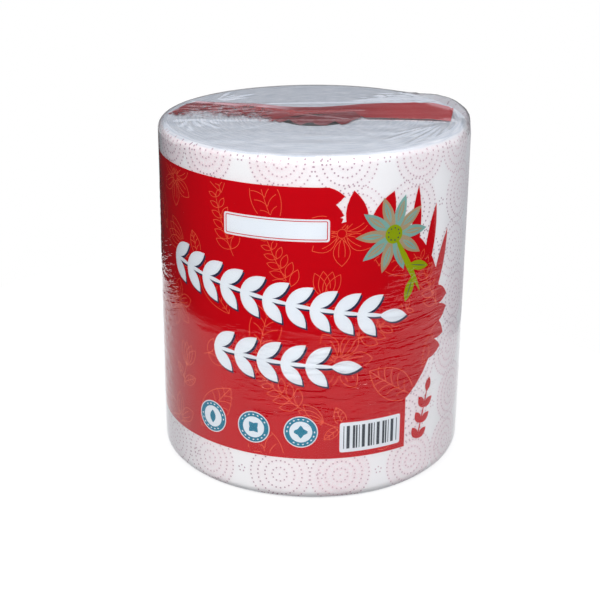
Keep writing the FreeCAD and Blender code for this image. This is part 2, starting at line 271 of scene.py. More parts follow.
def patch(x: np.ndarray, y: np.ndarray, centre: Point, reach: Point) -> np.ndarray:
    """1 in the middle of an oval patch of the plan, falling smoothly to 0 at its edge."""
    away = np.hypot((x - centre[0]) / reach[0], (y - centre[1]) / reach[1])
    return rise(away, 1.0, 0.6)


def circle(radius: float, count: int, start: float = 0.0) -> np.ndarray:
    """Points at an even pitch round the origin, the first so many pitches on from across."""
    angles = math.tau * (np.arange(count) + start) / count
    return radius * np.stack([np.cos(angles), np.sin(angles)], axis=1)


class Zone(Enum):
    """The stretches of the roll's outside, from the middle of the base to the middle of the top."""

    BASE_FACE = "base face"
    BASE_RIM = "base rim"
    SIDE = "side"
    TOP_RIM = "top rim"
    TOP_FACE = "top face"

    def rows(self, count: int, with_end: bool = False) -> list["Row"]:
        """Rows at an even pitch along the zone, the last one only if it is asked for."""
        return [Row(self, index / count) for index in range(count + with_end)]


@dataclass(frozen=True)
class Row:
    """One row of a surface: its zone, and how far along the zone it lies, from 0 to 1."""

    zone: Zone
    share: float


@dataclass(frozen=True)
class RollShape:
    """The outside of the wound paper, which the film and the print follow."""

    radius: float
    base: float
    top: float
    bore: float
    top_round: float = 5.0 * MM
    base_round: float = 6.5 * MM
    right_slack: float = 3.5 * MM     # how much rounder both rims are on the right
    back_slack: float = 5.0 * MM      # how much rounder they are at the back
    lean: float = 1.2 * MM            # how much higher the top lies at the right than in the middle
    tail_turn: float = 140.0          # where the web's loose end lies, round the back
    tail_step: float = 0.4 * MM

    def rims(self, turns: np.ndarray) -> tuple[np.ndarray, np.ndarray]:
        """The radii of the top and the base rim.

        Args:
            turns: where they are asked for.

        Returns:
            Both radii at each turn.
        """
        right, back = np.sin(np.radians(turns)), -np.cos(np.radians(turns))
        slack = self.right_slack * np.clip(right, 0, 1) ** 2 + self.back_slack * np.clip(back, 0, 1) ** 2
        return self.top_round + slack, self.base_round + slack

    def side(self, turns: np.ndarray) -> np.ndarray:
        """The side's radius, which steps in past the web's loose end, gone a quarter turn on."""
        past = np.mod(turns - self.tail_turn, FULL_TURN) / (FULL_TURN / 4)
        return self.radius - self.tail_step * np.clip(1 - past, 0, 1)

    def crown(self, x: np.ndarray) -> np.ndarray:
        """Height of the paper's top at each place across."""
        return self.top + self.lean * x / self.radius

    def reach(self, turns: np.ndarray, heights: np.ndarray) -> np.ndarray:
        """The paper's radius at points of the side and the rims.

        Args:
            turns, heights: the points.

        Returns:
            The radius at each.
        """
        top, base = self.rims(turns)
        over = heights - self.crown(self.radius * np.sin(np.radians(turns))) + top
        under = self.base + base - heights
        return self.side(turns) - sum(
            size - np.sqrt(np.clip(size ** 2 - np.clip(past, 0, size) ** 2, 0, None))
            for size, past in ((top, over), (base, under))
        )

    def ring(self, row: Row, turns: np.ndarray, lift: float, inner: float = 0.0) -> tuple[np.ndarray, ...]:
        """The points of one row.

        Args:
            row: the row.
            turns: the turn of each point.
            lift: how far the surface stands off the paper.
            inner: radius at which the faces end.

        Returns:
            The radii and the heights of the points.
        """
        top, base = self.rims(turns)
        side, across = self.side(turns), np.sin(np.radians(turns))
        share, angle = row.share, row.share * math.pi / 2
        if row.zone is Zone.SIDE:
            radii = side + lift
            heights = (self.base + base) * (1 - share) + (self.crown(radii * across) - top) * share
        elif row.zone is Zone.TOP_RIM:
            radii = side - top + (top + lift) * math.cos(angle)
            heights = self.crown(radii * across) - top + (top + lift) * math.sin(angle)
        elif row.zone is Zone.BASE_RIM:
            radii = side - base + (base + lift) * math.sin(angle)
            heights = self.base + base - (base + lift) * math.cos(angle)
        elif row.zone is Zone.TOP_FACE:
            radii = (side - top) * (1 - share) + inner * share
            heights = self.crown(radii * across) + lift
        else:
            radii = inner * (1 - share) + (side - base) * share
            heights = np.full_like(turns, self.base - lift)
        return radii, heights


PAPER_LOW, PAPER_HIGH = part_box("paper_roll")
SHAPE = RollShape(PAPER_HIGH.x, PAPER_LOW.z, PAPER_HIGH.z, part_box("core_tube")[1].x)


def upright(turns: np.ndarray, radii: np.ndarray | float, heights: np.ndarray) -> np.ndarray:
    """Frame points from turns, radii and heights."""
    angles = np.radians(turns)
    return np.stack([radii * np.sin(angles), -radii * np.cos(angles), heights], axis=-1)


def rolled(flat: np.ndarray, radii: np.ndarray | float) -> np.ndarray:
    """Frame points from points of the unrolled side and their radii."""
    return upright(np.degrees(flat[:, 0] / SHAPE.radius), radii, flat[:, 1])


def even_turns(count: int) -> np.ndarray:
    """Turns at an even pitch once round the roll."""
    return np.linspace(-FULL_TURN / 2, FULL_TURN / 2, count, endpoint=False)


def linked(name: str, data: bpy.types.ID) -> bpy.types.Object:
    """A new object of the scene.

    Args:
        name: its name.
        data: its mesh, lamp or camera.

    Returns:
        The object.
    """
    made = bpy.data.objects.new(name, data)
    bpy.context.scene.collection.objects.link(made)
    return made


def new_object(
    name: str, points: np.ndarray, faces: Sequence[Sequence[int]], material: bpy.types.Material
) -> bpy.types.Object:
    """A smooth-shaded mesh object that rides on the roll, with only the points that its faces use.

    Args:
        name: the piece's name.
        points: frame points.
        faces: point numbers of each face, outward.
        material: its finish.

    Returns:
        The new object.
    """
    used = np.unique(np.fromiter(chain.from_iterable(faces), int))
    number = dict(zip(used.tolist(), range(len(used))))
    mesh = bpy.data.meshes.new(name)
    mesh.from_pydata(points[used].tolist(), [], [[number[point] for point in face] for face in faces])
    mesh.shade_smooth()
    mesh.materials.append(material)
    mesh.validate()
    made = linked(name, mesh)
    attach(made, "root")
    LOG.info("%s: %d points, %d triangles", name, len(used), sum(len(face) - 2 for face in faces))
    return made


def grid_faces(
    rows: int, columns: int, shut_rows: bool = False, shut_columns: bool = True
) -> list[list[int]]:
    """Quads of a grid of points.

    Args:
        rows, columns: its size.
        shut_rows: joins its last row to its first.
        shut_columns: joins its last column to its first.

    Returns:
        The point numbers of each quad.
    """
    first = np.arange(rows * columns).reshape(rows, columns)
    above = np.roll(first, -1, axis=0)
    quads = np.stack([first, np.roll(first, -1, axis=1), np.roll(above, -1, axis=1), above], axis=-1)
    return quads[:rows - 1 + shut_rows, :columns - 1 + shut_columns].reshape(-1, 4).tolist()


# ---------------------------------------------------------------- paper and board
@dataclass(frozen=True)
class Emboss:
    """The circles of dots pressed and printed on the towel: staggered pairs, with clusters between."""

    pairs: int = 7
    row_pitch: float = 34.0 * MM
    first_row: float = -16.0 * MM
    first_column: float = -65.3 * MM
    gap: float = 38.6 * MM            # between the two circles of a pair
    ring_pitch: float = 4.8 * MM
    rings: int = 4
    dot_pitch: float = 2.85 * MM
    dot_radius: float = 0.6 * MM
    cluster: int = 5
    cluster_radius: float = 2.1 * MM

    @property
    def pair_pitch(self) -> float:
        """Arc between the pairs of circles."""
        return math.tau * SHAPE.radius / self.pairs

    def dots(self) -> np.ndarray:
        """Lays the pattern's dots about every circle's centre.

        Returns:
            Across and up of every dot.
        """
        reaches = [ring * self.ring_pitch for ring in range(1, self.rings + 1)]
        rings = [
            circle(reach, round(math.tau * reach / self.dot_pitch), 0.5 * (index % 2))
            for index, reach in enumerate(reaches, 1)
        ]
        cluster = circle(self.cluster_radius, self.cluster, self.cluster / 4)
        cluster += ((self.pair_pitch - self.gap) / 2, 0.0)
        pattern = np.vstack([(0.0, 0.0), *rings, cluster])
        return np.concatenate([
            pattern + (self.first_column + (pair + 0.5 * (row % 2)) * self.pair_pitch + offset,
                       self.first_row + row * self.row_pitch)
            for row in range(math.ceil((SHAPE.top - self.first_row) / self.row_pitch))
            for pair in range(self.pairs) for offset in (0.0, self.gap)
        ])

    def nearness(self, wiring: Wiring) -> Shade:
        """Distance to the nearest circle's centre, in metres.

        Args:
            wiring: what the nodes are added to.

        Returns:
            The distance.
        """
        across, up = wiring.unrolled(SHAPE.radius)
        gaps = []
        for stagger in (0.0, 0.5):
            rows = (up - self.first_row) / (2 * self.row_pitch) + (0.5 - stagger)
            gap_y = (rows.math("FRACT") - 0.5) * (2 * self.row_pitch)
            for offset in (0.0, self.gap):
                columns = (across - (self.first_column + offset)) / self.pair_pitch
                columns = columns + (self.pairs + 0.5 - stagger)
                gap_x = (columns.math("FRACT") - 0.5) * self.pair_pitch
                gaps.append((gap_x * gap_x + gap_y * gap_y).math("SQRT"))
        return reduce(lambda nearest, gap: nearest.math("MINIMUM", gap), gaps)


EMBOSS = Emboss()


@dataclass(frozen=True)
class PaperFinish:
    """White tissue: pink hatching inside the circles of dots, a soft embossed grain, and grey-blue cut ends
    that are painted darker in the hollows between the turns' edges as painted shade.
    """

    white: Colour = (0.93, 0.925, 0.925)
    pink: Colour = (0.90, 0.74, 0.77)
    # the cut ends: grey-blue and darker than the side, partly the rougher cut paper and partly painted
    # shade; the darker of the two colours is painted shade in the hollows between the turns' edges
    end_light: Colour = (0.90, 0.91, 0.94)
    end_dark: Colour = (0.66, 0.70, 0.76)
    hatch: float = 1400.0
    fibres: float = 2600.0

    def make(self) -> bpy.types.Material:
        """Wires the tissue, with the turns' edges on its ends, where the hollows between the edges are
        painted darker as painted shade.

        Returns:
            Its material.
        """
        wiring = new_wiring("tissue_paper")
        place = wiring.place()
        near = EMBOSS.nearness(wiring)
        reach = EMBOSS.ring_pitch * (EMBOSS.rings + 0.6)
        inside = near.between(reach, reach * 0.78)
        ring = (near * (math.tau / EMBOSS.ring_pitch)).math("COSINE") * 0.5 + 0.5
        hatch = wiring.noise(place, self.hatch, 0.0).between(0.42, 0.58)
        patches = wiring.noise(place, 9.0, 1.0).between(0.35, 0.65)
        tint = inside * (hatch * 0.45 + ring * 0.25 + 0.12) * (patches * 0.65 + 0.35)
        _, _, up = wiring.parts(wiring.node("NewGeometry")["Normal"])
        on_end = up.math("ABSOLUTE").between(0.6, 0.9)
        x, y, _ = wiring.parts(place)
        turned = wiring.vector((x * x + y * y).math("SQRT"), x.math("ARCTAN2", y) * (6 * MM), 0.0)
        # the turns' edges on the ends: the same noise raises their crests in the bump and paints the hollows
        # between them darker, as painted shade
        streaks = wiring.noise(turned, 900.0, 4.0).between(0.32, 0.68)
        side = wiring.mix(tint * (1.0 - on_end), self.white, self.pink)
        height = (
            wiring.noise(place, self.fibres) * 0.35 + ring * inside * 0.65 + streaks * on_end * 0.8
        )
        return wiring.finish(wiring.principled({
            # ends: painted shade in the hollows, and the grey of the crests
            "Base Color": wiring.mix(on_end, side, wiring.mix(streaks, self.end_dark, self.end_light)),
            "Roughness": 0.95,
            "Specular IOR Level": 0.15,
            "Normal": wiring.bump(height, 0.25 * MM),
        }))


@dataclass(frozen=True)
class DotFinish:
    """The dots' pink-grey ink, worn through here and there."""

    strong: Colour = (0.46, 0.33, 0.39)
    pale: Colour = (0.70, 0.54, 0.59)

    def make(self) -> bpy.types.Material:
        """Wires the dots' ink.

        Returns:
            Its material.
        """
        wiring = new_wiring("dot_pink")
        place = wiring.place()
        grain = wiring.noise(place, 3000.0, 1.0)
        return wiring.finish(wiring.principled({
            "Base Color": wiring.mix(wiring.noise(place, 22.0).between(0.35, 0.65), self.strong, self.pale),
            "Roughness": grain * 0.1 + 0.85,
            "Specular IOR Level": 0.15,
            "Normal": wiring.bump(grain, 0.1 * MM),
        }))


@dataclass(frozen=True)
class BoardFinish:
    """Grey-brown core board with its spiral joints and fibres."""

    light: Colour = (0.42, 0.33, 0.24)
    dark: Colour = (0.25, 0.18, 0.12)

    def make(self) -> bpy.types.Material:
        """Wires the board, with its fibres drawn out along the spiral.

        Returns:
            Its material.
        """
        wiring = new_wiring("core_board")
        across, up = wiring.unrolled(SHAPE.bore)
        fibres = wiring.noise(wiring.vector(across, (across * 0.6 + up) * 5.0, up), 260.0, 4.0)
        return wiring.finish(wiring.principled({
            "Base Color": wiring.mix(fibres.between(0.3, 0.7), self.dark, self.light),
            "Roughness": fibres * 0.15 + 0.8,
            "Normal": wiring.bump(fibres, 0.15 * MM),
        }))


@dataclass
class PaperRoll:
    """The wound web, with the turns' edges at both ends."""

    columns: int = 240
    side_rows: int = 44
    rim_rows: int = 5
    end_rows: int = 84
    bore_rows: int = 6
    bundle: Swell = Swell(11, 8.0 * MM, 60.0)
    turn: Swell = Swell(12, 1.7 * MM, 45.0)
    bundle_depth: float = 0.34 * MM
    turn_depth: float = 0.22 * MM

    def end_relief(self, radii: np.ndarray, turns: np.ndarray) -> np.ndarray:
        """How far the turns' edges stand over the highest one, which is less than nothing."""
        bundles, edges = self.bundle.at(radii, turns) - 1, self.turn.at(radii, turns) - 1
        return (bundles * self.bundle_depth + edges * self.turn_depth) / 2

    def build(self, material: bpy.types.Material) -> None:
        """Builds the paper as one closed body with a bore.

        Args:
            material: its finish.
        """
        turns = even_turns(self.columns)
        rings = []
        for row in (
            Zone.BASE_FACE.rows(self.end_rows) + Zone.BASE_RIM.rows(self.rim_rows)
            + Zone.SIDE.rows(self.side_rows) + Zone.TOP_RIM.rows(self.rim_rows)
            + Zone.TOP_FACE.rows(self.end_rows, True)
        ):
            radii, heights = SHAPE.ring(row, turns, 0.0, SHAPE.bore)
            if row.zone in (Zone.TOP_FACE, Zone.BASE_FACE):
                side = 1 if row.zone is Zone.TOP_FACE else -1
                edge = rise(radii, SHAPE.radius - SHAPE.top_round - 2 * MM, SHAPE.radius - 12 * MM)
                heights = heights + side * edge * self.end_relief(radii, turns)
            rings.append(upright(turns, radii, heights))
        top, base = rings[-1], rings[0]
        rings += [top + (base - top) * index / self.bore_rows for index in range(1, self.bore_rows)]
        faces = grid_faces(len(rings), len(turns), True)
        made = new_object("paper_web", np.concatenate(rings), faces, material)
        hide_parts("paper_roll")


@dataclass
class TowelDots:
    """The pressed dots of the towel, each a flat six-sided bead."""

    lift: float = 0.02 * MM
    crown: float = 0.07 * MM
    base_gap: float = 2.0 * MM
    top_gap: float = 1.5 * MM
    round_past: float = 3.5 * MM      # how far in over a rim the dots go
    sides: int = 6

    def build(self, material: bpy.types.Material, hidden: Callable[[Point], bool]) -> None:
        """Builds every dot that the print doesn't hide.

        Args:
            material: the dots' finish.
            hidden: tells whether a side point lies under opaque print.
        """
        low, high = SHAPE.base + self.base_gap, SHAPE.top - self.top_gap
        shown = np.array([dot for dot in EMBOSS.dots() if low < dot[1] < high and not hidden(dot)])
        reaches = SHAPE.reach(np.degrees(shown[:, 0] / SHAPE.radius), shown[:, 1])
        shown = shown[reaches > SHAPE.radius - self.round_past]
        bead = np.vstack([(0.0, 0.0), circle(EMBOSS.dot_radius, self.sides)])
        flat = (shown[:, None] + bead).reshape(-1, 2)
        lifts = np.tile([self.lift + self.crown] + [self.lift] * self.sides, len(shown))
        radii = SHAPE.reach(np.degrees(flat[:, 0] / SHAPE.radius), flat[:, 1]) + lifts
        faces = [
            (middle, middle + 1 + index, middle + 1 + (index + 1) % self.sides)
            for middle in range(0, len(flat), len(bead)) for index in range(self.sides)
        ]
        made = new_object("towel_dots", rolled(flat, radii), faces, material)


@dataclass
class CoreTube:
    """The spiral-wound board tube inside the paper."""

    columns: int = 96
    rows: int = 90
    wall: float = 1.2 * MM
    lead: float = 95.0 * MM
    groove: float = 0.35 * MM
    groove_width: float = 0.9 * MM

    def build(self, material: bpy.types.Material) -> None:
        """Builds the tube's bore, ends and outside, with the joint's spiral groove in its bore.

        Args:
            material: its finish.
        """
        low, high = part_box("core_tube")
        turns = even_turns(self.columns)
        level = np.ones_like(turns)
        rings = []
        for height in np.linspace(high.z, low.z, self.rows + 1).tolist():
            away = np.abs((height / self.lead - turns / FULL_TURN) % 1.0 - 0.5) * self.lead
            depth = self.groove * np.exp(-((away / self.groove_width) ** 2))
            rings.append(upright(turns, SHAPE.bore - self.wall + depth, height * level))
        rings += [upright(turns, SHAPE.bore, height * level) for height in (low.z, high.z)]
        faces = grid_faces(len(rings), len(turns), True)
        made = new_object("core_board_tube", np.concatenate(rings), faces, material)
        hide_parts("core_tube")


# ---------------------------------------------------------------- film
@dataclass(frozen=True)
class Fold:
    """A long low ridge in the film on the top, between two points of the plan in millimetres."""

    start: Point
    end: Point
    width: float
    height: float

    def lift(self, x: np.ndarray, y: np.ndarray) -> np.ndarray:
        """The ridge's height.

        Args:
            x, y: points of the plan, in metres.

        Returns:
            The height over each point, in metres.
        """
        start, end = np.multiply(self.start, MM), np.multiply(self.end, MM)
        along = end - start
        length = np.hypot(*along)
        share = ((x - start[0]) * along[0] + (y - start[1]) * along[1]) / length ** 2
        aside = ((x - start[0]) * along[1] - (y - start[1]) * along[0]) / length
        taper = np.clip(4 * share * (1 - share), 0, 1)
        return self.height * MM * taper * np.exp(-((aside / (self.width * MM)) ** 2))


def fan(root: Point, towards: float, spread: float, count: int, reach: float) -> list[Fold]:
    """Folds that fan out from a point.

    Args:
        root: where they start, in millimetres.
        towards: the middle direction, in degrees up from +X of the plan.
        spread: the whole angle between the outer two.
        count: how many there are.
        reach: length of the longest.

    Returns:
        The folds, shorter ones by turns.
    """
    folds = []
    for index in range(count):
        angle = towards + spread * (index / (count - 1) - 0.5)
        start, end = polar(4, angle, root), polar(reach * (1.0 if index % 2 else 0.72), angle, root)
        folds.append(Fold(start, end, 1.0 + 0.3 * (index % 3), 0.35 + 0.2 * (index % 2)))
    return folds


def polar(distance: float, angle: float, start: Point = (0.0, 0.0)) -> Point:
    """The point at a distance from another, in a direction given in degrees up from across."""
    turn = math.radians(angle)
    return start[0] + distance * math.cos(turn), start[1] + distance * math.sin(turn)


@dataclass(frozen=True)
class Area:
    """A stretch of the side with soft edges: its start, end and softness in turns, and up in millimetres."""

    turns: tuple[float, float, float]
    up: tuple[float, float, float]

    def share(self, turns: np.ndarray, up: np.ndarray) -> np.ndarray:
        """1 inside the area and 0 well outside it."""
        return window(turns, *self.turns) * window(up, *np.multiply(self.up, MM))


@dataclass
class FilmRelief:
    """How the film's wrinkles and folds stand off its smooth shape."""

    slack: Swell = Swell(21, 70 * MM, 60 * MM, True)
    gathers: Swell = Swell(22, 13 * MM, 2.6 * MM, True)
    gather_breaks: Swell = Swell(23, 30 * MM, 14 * MM, True)
    crumple: Swell = Swell(24, 5.0 * MM, 1.9 * MM, True)
    faint: Swell = Swell(25, 15 * MM, 5 * MM, True)
    top_slack: Swell = Swell(26, 22 * MM, 9 * MM)
    top_crumple: Swell = Swell(27, 6.5 * MM, 3.2 * MM)
    sag_depth: float = 0.1 * MM
    shoulder: float = 3.2 * MM
    flap_step: float = 0.45 * MM
    flap_edge: float = 1.5 * MM
    flap_reach: float = 88.0 * MM
    flap_depth: Point = (-14.0 * MM, 33.0 * MM)
    right: Area = Area((24, 64, 10), (52, 168, 20))
    low: Area = Area((-24, 34, 14), (30, 66, 14))
    left: Area = Area((-100, -70, 9), (45, 175, 20))
    folds: tuple[Fold, ...] = (
        *fan((84, -20), -118, 46, 7, 62), *fan((-80, -4), -70, 60, 5, 36),
        *fan((80, 36), 140, 50, 5, 44), *fan((-66, 42), 50, 50, 4, 34),
        Fold((-84, 44), (22, -12), 1.3, 1.0), Fold((-30, 6), (34, 12), 1.2, 0.8),
        Fold((-34, 32), (84, 38), 1.4, 0.9), Fold((24, -9), (92, -17), 1.1, 0.7),
        Fold((24, 42), (90, 52), 4.5, 1.0), Fold((64, 70), (120, -8), 8.0, 2.5),
    )

    def side(self, turns: np.ndarray, up: np.ndarray) -> np.ndarray:
        """The relief on the side.

        Args:
            turns, up: points of the side.

        Returns:
            How far each stands out, in metres.
        """
        breaks = rise(self.gather_breaks.at(turns, up), -0.5, 0.4)
        right, low, left = (area.share(turns, up) for area in (self.right, self.low, self.left))
        return MM * (
            0.10 * self.slack.at(turns, up) + 0.03 * self.faint.at(turns, up)
            + 0.05 * self.gathers.at(turns, up) * breaks * (right + 0.6 * low)
            + 0.15 * self.crumple.at(turns, up) * left
        )

    def top(self, x: np.ndarray, y: np.ndarray) -> np.ndarray:
        """The relief on the top.

        Args:
            x, y: points of the plan.

        Returns:
            How far the film is raised at each, in metres.
        """
        sag = -self.sag_depth * rise(np.hypot(x, y), SHAPE.bore + 2 * MM, 0.0)
        flap = window(x, -self.flap_reach, self.flap_reach, self.flap_edge)
        flap = flap * window(y, *self.flap_depth, self.flap_edge) * self.flap_step
        left = patch(x, y, (-58 * MM, 16 * MM), (34 * MM, 16 * MM))
        behind = patch(x, y, (66 * MM, 52 * MM), (40 * MM, 14 * MM))
        crumple = self.top_crumple.at(x, y) * (0.32 * left + 0.75 * behind)
        slack = MM * (0.035 * self.top_slack.at(x, y) + crumple)
        return sag + flap + slack + sum(fold.lift(x, y) for fold in self.folds)


RELIEF = FilmRelief()


@dataclass(frozen=True)
class FilmFinish:
    """Clear glossy film: it reflects as plastic does, and is creased where it was drawn in."""

    index: float = 1.45
    streaks: float = 300.0
    streak_share: float = 0.25
    gathers: float = 210.0
    slants: float = 320.0
    depth: float = 0.20 * MM
    most: float = 0.9
    # where the creases fade in and out, across and up in millimetres
    right: tuple[tuple[Point, Point], ...] = (((38, 56), (88, 104)), ((42, 66), (142, 158)))
    middle: tuple[tuple[Point, Point], ...] = (((-70, -30), (38, 56)), ((44, 60), (104, 122)))
    left_across: Point = (-96.0 * MM, -116.0 * MM)
    left_up: tuple[Point, Point] = ((56, 80), (172, 194))

    def make(self) -> bpy.types.Material:
        """Wires the film: level creases at the middle and the right, slanted ones at the left.

        Returns:
            Its material.
        """
        wiring = new_wiring("clear_film")
        across, up = wiring.unrolled(SHAPE.radius)
        streaks = wiring.noise(wiring.vector(across * 0.25, up, across * 0.05), self.streaks, 3.0)
        creases = wiring.noise(wiring.vector(across * 0.16, up, across * 0.03), self.gathers)
        creases = (creases - 0.5).math("ABSOLUTE").between(0.11, 0.0)
        slants = wiring.noise(wiring.vector(across * 0.3, up - across * 0.35, 0.0), self.slants)
        right, middle = (across.within(*area[0]) * up.within(*area[1]) for area in (self.right, self.middle))
        left = across.between(*self.left_across) * up.within(*self.left_up)
        height = (
            streaks * self.streak_share + creases * (right + middle * 0.8)
            + slants.between(0.35, 0.65) * left * 0.8
        )
        normal = wiring.bump(height, self.depth)
        gloss = wiring.number("Fresnel", None, {"IOR": self.index, "Normal": normal})
        clear = wiring.node("BsdfTransparent")[0]
        mirror = wiring.principled({
            "Base Color": (0.98, 0.98, 1.0),
            "Metallic": 1.0,
            "Roughness": streaks * 0.06 + 0.05,
            "Normal": normal,
        })
        share = gloss.math("MINIMUM", self.most)
        return wiring.finish(wiring.node("MixShader", None, {0: share, 1: clear, 2: mirror})[0])


@dataclass
class FilmWrap:
    """The clear skin round the roll, shut over both ends."""

    lift: float = 0.55 * MM
    side_rows: int = 256
    rim_rows: int = 8
    base_rows: int = 20
    top_rows: int = 110
    top_columns: int = 360
    fine: float = 0.72                # pitch of the columns on the front, in degrees
    coarse: float = 3.0
    front: Point = (-96.0, 74.0)
    base_sag: float = 2.5 * MM

    def turns(self) -> np.ndarray:
        """Turns once round the roll, close together on the front.

        Returns:
            The turns in rising order.
        """
        start, end = self.front
        rest = start + FULL_TURN - end
        front = np.linspace(start, end, round((end - start) / self.fine), endpoint=False)
        back = np.linspace(end, end + rest, round(rest / self.coarse), endpoint=False)
        return np.concatenate([front, back])

    def ring(self, row: Row, turns: np.ndarray) -> np.ndarray:
        """The film's points in one row, with the puffed shoulder at the back right of the top rim.

        Args:
            row: the row.
            turns: the turn of each point.

        Returns:
            The points.
        """
        radii, heights = SHAPE.ring(row, turns, self.lift)
        if row.zone is Zone.BASE_FACE:
            return upright(turns, radii, heights + self.base_sag * rise(radii, SHAPE.bore, 0.0))
        top = RELIEF.top(*upright(turns, radii, heights)[:, :2].T)
        if row.zone is Zone.TOP_FACE:
            return upright(turns, radii, heights + top)
        share = {Zone.SIDE: 1.0, Zone.BASE_RIM: row.share, Zone.TOP_RIM: 1 - row.share}[row.zone]
        radii = radii + share * RELIEF.side(turns, heights)
        if row.zone is Zone.TOP_RIM:
            angle = row.share * math.pi / 2
            loose = RELIEF.shoulder * math.sin(2 * angle) * window(turns, 98, 114, 13)
            radii = radii + loose * math.cos(angle)
            heights = heights + loose * math.sin(angle) + row.share * top
        return upright(turns, radii, heights)

    def body(
        self, name: str, rows: list[Row], turns: np.ndarray, middle: float, material: bpy.types.Material
    ) -> bpy.types.Object:
        """Builds some rows of the film, shut at a point on the axis.

        Args:
            name, material: the piece's name and finish.
            rows: its rows, from the base up.
            turns: the turns of its columns.
            middle: height of the point.

        Returns:
            The piece.
        """
        points = np.vstack([self.ring(row, turns) for row in rows] + [(0.0, 0.0, middle)])
        count, last = len(turns), len(points) - 1
        edge = np.arange(count) + (0 if rows[0].zone is Zone.BASE_FACE else last - count)
        ends = [edge.tolist(), np.roll(edge, -1).tolist()]
        if rows[0].zone is Zone.BASE_FACE:
            ends.reverse()
        faces = grid_faces(len(rows), count) + [(last, *pair) for pair in zip(*ends)]
        made = new_object(name, points, faces, material)
        return made

    def build(self, material: bpy.types.Material) -> None:
        """Builds the side with the base, and the top.

        Args:
            material: their finish.
        """
        lower = (
            Zone.BASE_FACE.rows(self.base_rows)[1:] + Zone.BASE_RIM.rows(self.rim_rows)
            + Zone.SIDE.rows(self.side_rows) + Zone.TOP_RIM.rows(self.rim_rows, True)
        )
        middle = SHAPE.base - self.lift + self.base_sag
        sleeve = self.body("film_sleeve", lower, self.turns(), middle, material)
        middle = SHAPE.top + self.lift + float(RELIEF.top(np.zeros(1), np.zeros(1))[0])
        upper, turns = Zone.TOP_FACE.rows(self.top_rows), even_turns(self.top_columns)
        self.body("film_cover", upper, turns, middle, material)
        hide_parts("film_wrap")


@dataclass
class FilmSeam:
    """The film's lapped and sealed edge down the back, slightly puckered."""

    turn: float = 180.0
    width: float = 12.0 * MM
    margin: float = 9.0 * MM
    lift: float = 0.9 * MM
    rows: int = 220
    columns: int = 9
    pucker_depth: float = 0.22 * MM
    pucker: Swell = Swell(28, 9.0 * MM, 4.0 * MM)

    def build(self, material: bpy.types.Material) -> None:
        """Builds the outer layer of the lap.

        Args:
            material: its finish.
        """
        half = math.degrees(self.width / 2 / SHAPE.radius)
        levels = np.linspace(SHAPE.base + self.margin, SHAPE.top - self.margin, self.rows)
        turns = np.tile(self.turn + np.linspace(-half, half, self.columns), self.rows)
        up = np.repeat(levels, self.columns)
        waves = self.pucker_depth * self.pucker.at(np.radians(turns) * SHAPE.radius, up)
        points = upright(turns, SHAPE.reach(turns, up) + self.lift + waves, up)
        faces = grid_faces(self.rows, self.columns, shut_columns=False)
        made = new_object("film_seam", points, faces, material)


# ---------------------------------------------------------------- print
class Ink(Enum):
    """The inks on the film, by the name of their node."""

    RED = "red_ink"
    WHITE = "white_ink"
    NAVY = "navy_ink"
    TEAL = "teal_ink"
    DARK = "dark_ink"
    GREEN = "green_ink"
    AQUA = "aqua_ink"
    TAN = "tan_ink"


@dataclass(frozen=True)
class InkFinish:
    """Flexographic ink on film: an even colour with a faint screen and slightly thin places."""

    name: str
    colour: Colour
    thin: Colour
    screen: float = 1900.0

    def make(self) -> bpy.types.Material:
        """Wires the ink.

        Returns:
            Its material.
        """
        wiring = new_wiring(self.name)
        place = wiring.place()
        screen = wiring.noise(place, self.screen, 0.0).between(0.35, 0.75)
        cloud = wiring.noise(place, 35.0, 3.0).between(0.35, 0.7)
        return wiring.finish(wiring.principled({
            "Base Color": wiring.mix(screen * 0.25 + cloud * 0.45, self.colour, self.thin),
            "Roughness": cloud * 0.1 + 0.5,
            "Specular IOR Level": 0.02,
            "Normal": wiring.bump(cloud, 0.12 * MM, 0.4),
        }))


INKS = {
    Ink.RED: InkFinish("red_print", (0.63, 0.0015, 0.008), (0.57, 0.002, 0.009)),
    Ink.WHITE: InkFinish("white_print", (0.86, 0.90, 0.93), (0.82, 0.87, 0.91)),
    Ink.NAVY: InkFinish("navy_print", (0.030, 0.035, 0.085), (0.05, 0.045, 0.09)),
    Ink.TEAL: InkFinish("teal_print", (0.010, 0.22, 0.34), (0.03, 0.30, 0.42)),
    Ink.DARK: InkFinish("dark_print", (0.045, 0.055, 0.07), (0.10, 0.11, 0.13)),
    Ink.GREEN: InkFinish("green_print", (0.36, 0.44, 0.006), (0.28, 0.38, 0.004)),
    Ink.AQUA: InkFinish("aqua_print", (0.22, 0.44, 0.40), (0.30, 0.52, 0.47)),
    Ink.TAN: InkFinish("tan_print", (0.44, 0.33, 0.20), (0.52, 0.40, 0.26)),
}
LINE_INK = InkFinish("line_print", (0.86, 0.13, 0.06), (0.80, 0.09, 0.04))


@dataclass(frozen=True)
class Place:
    """A place on the front: its turn, and its share of the red field's height."""

    turn: float
    share: float


@dataclass(frozen=True)
class Sprig:
    """A stalk with leaves: how far up it leans, its length, its leaves' size and pitch, its width."""

    lean: float
    length: float
    leaf: Point
    pitch: float
    stalk: float


ARC_POINTS = 9


def leaf(size: Point, lean: float, start: float = 0.0) -> Outline:
    """A pointed leaf between two arcs.

    Args:
        size: its length and width.
        lean: the direction of its middle line, in degrees up from across.
        start: how far along that line it starts.

    Returns:
        Its outline.
    """
    along = np.linspace(0, 1, ARC_POINTS)
    half = size[1] / 2 * (1 - (2 * along - 1) ** 2)
    across = start + size[0] * np.concatenate([along, along[-2:0:-1]])
    return leaned(zip(across.tolist(), np.concatenate([-half, half[-2:0:-1]]).tolist()), lean)


def leaned(points: Iterable[Point], lean: float) -> Outline:
    """Points turned about the origin by so many degrees, from across towards up."""
    cos, sin = math.cos(math.radians(lean)), math.sin(math.radians(lean))
    return [(x * cos - z * sin, x * sin + z * cos) for x, z in points]


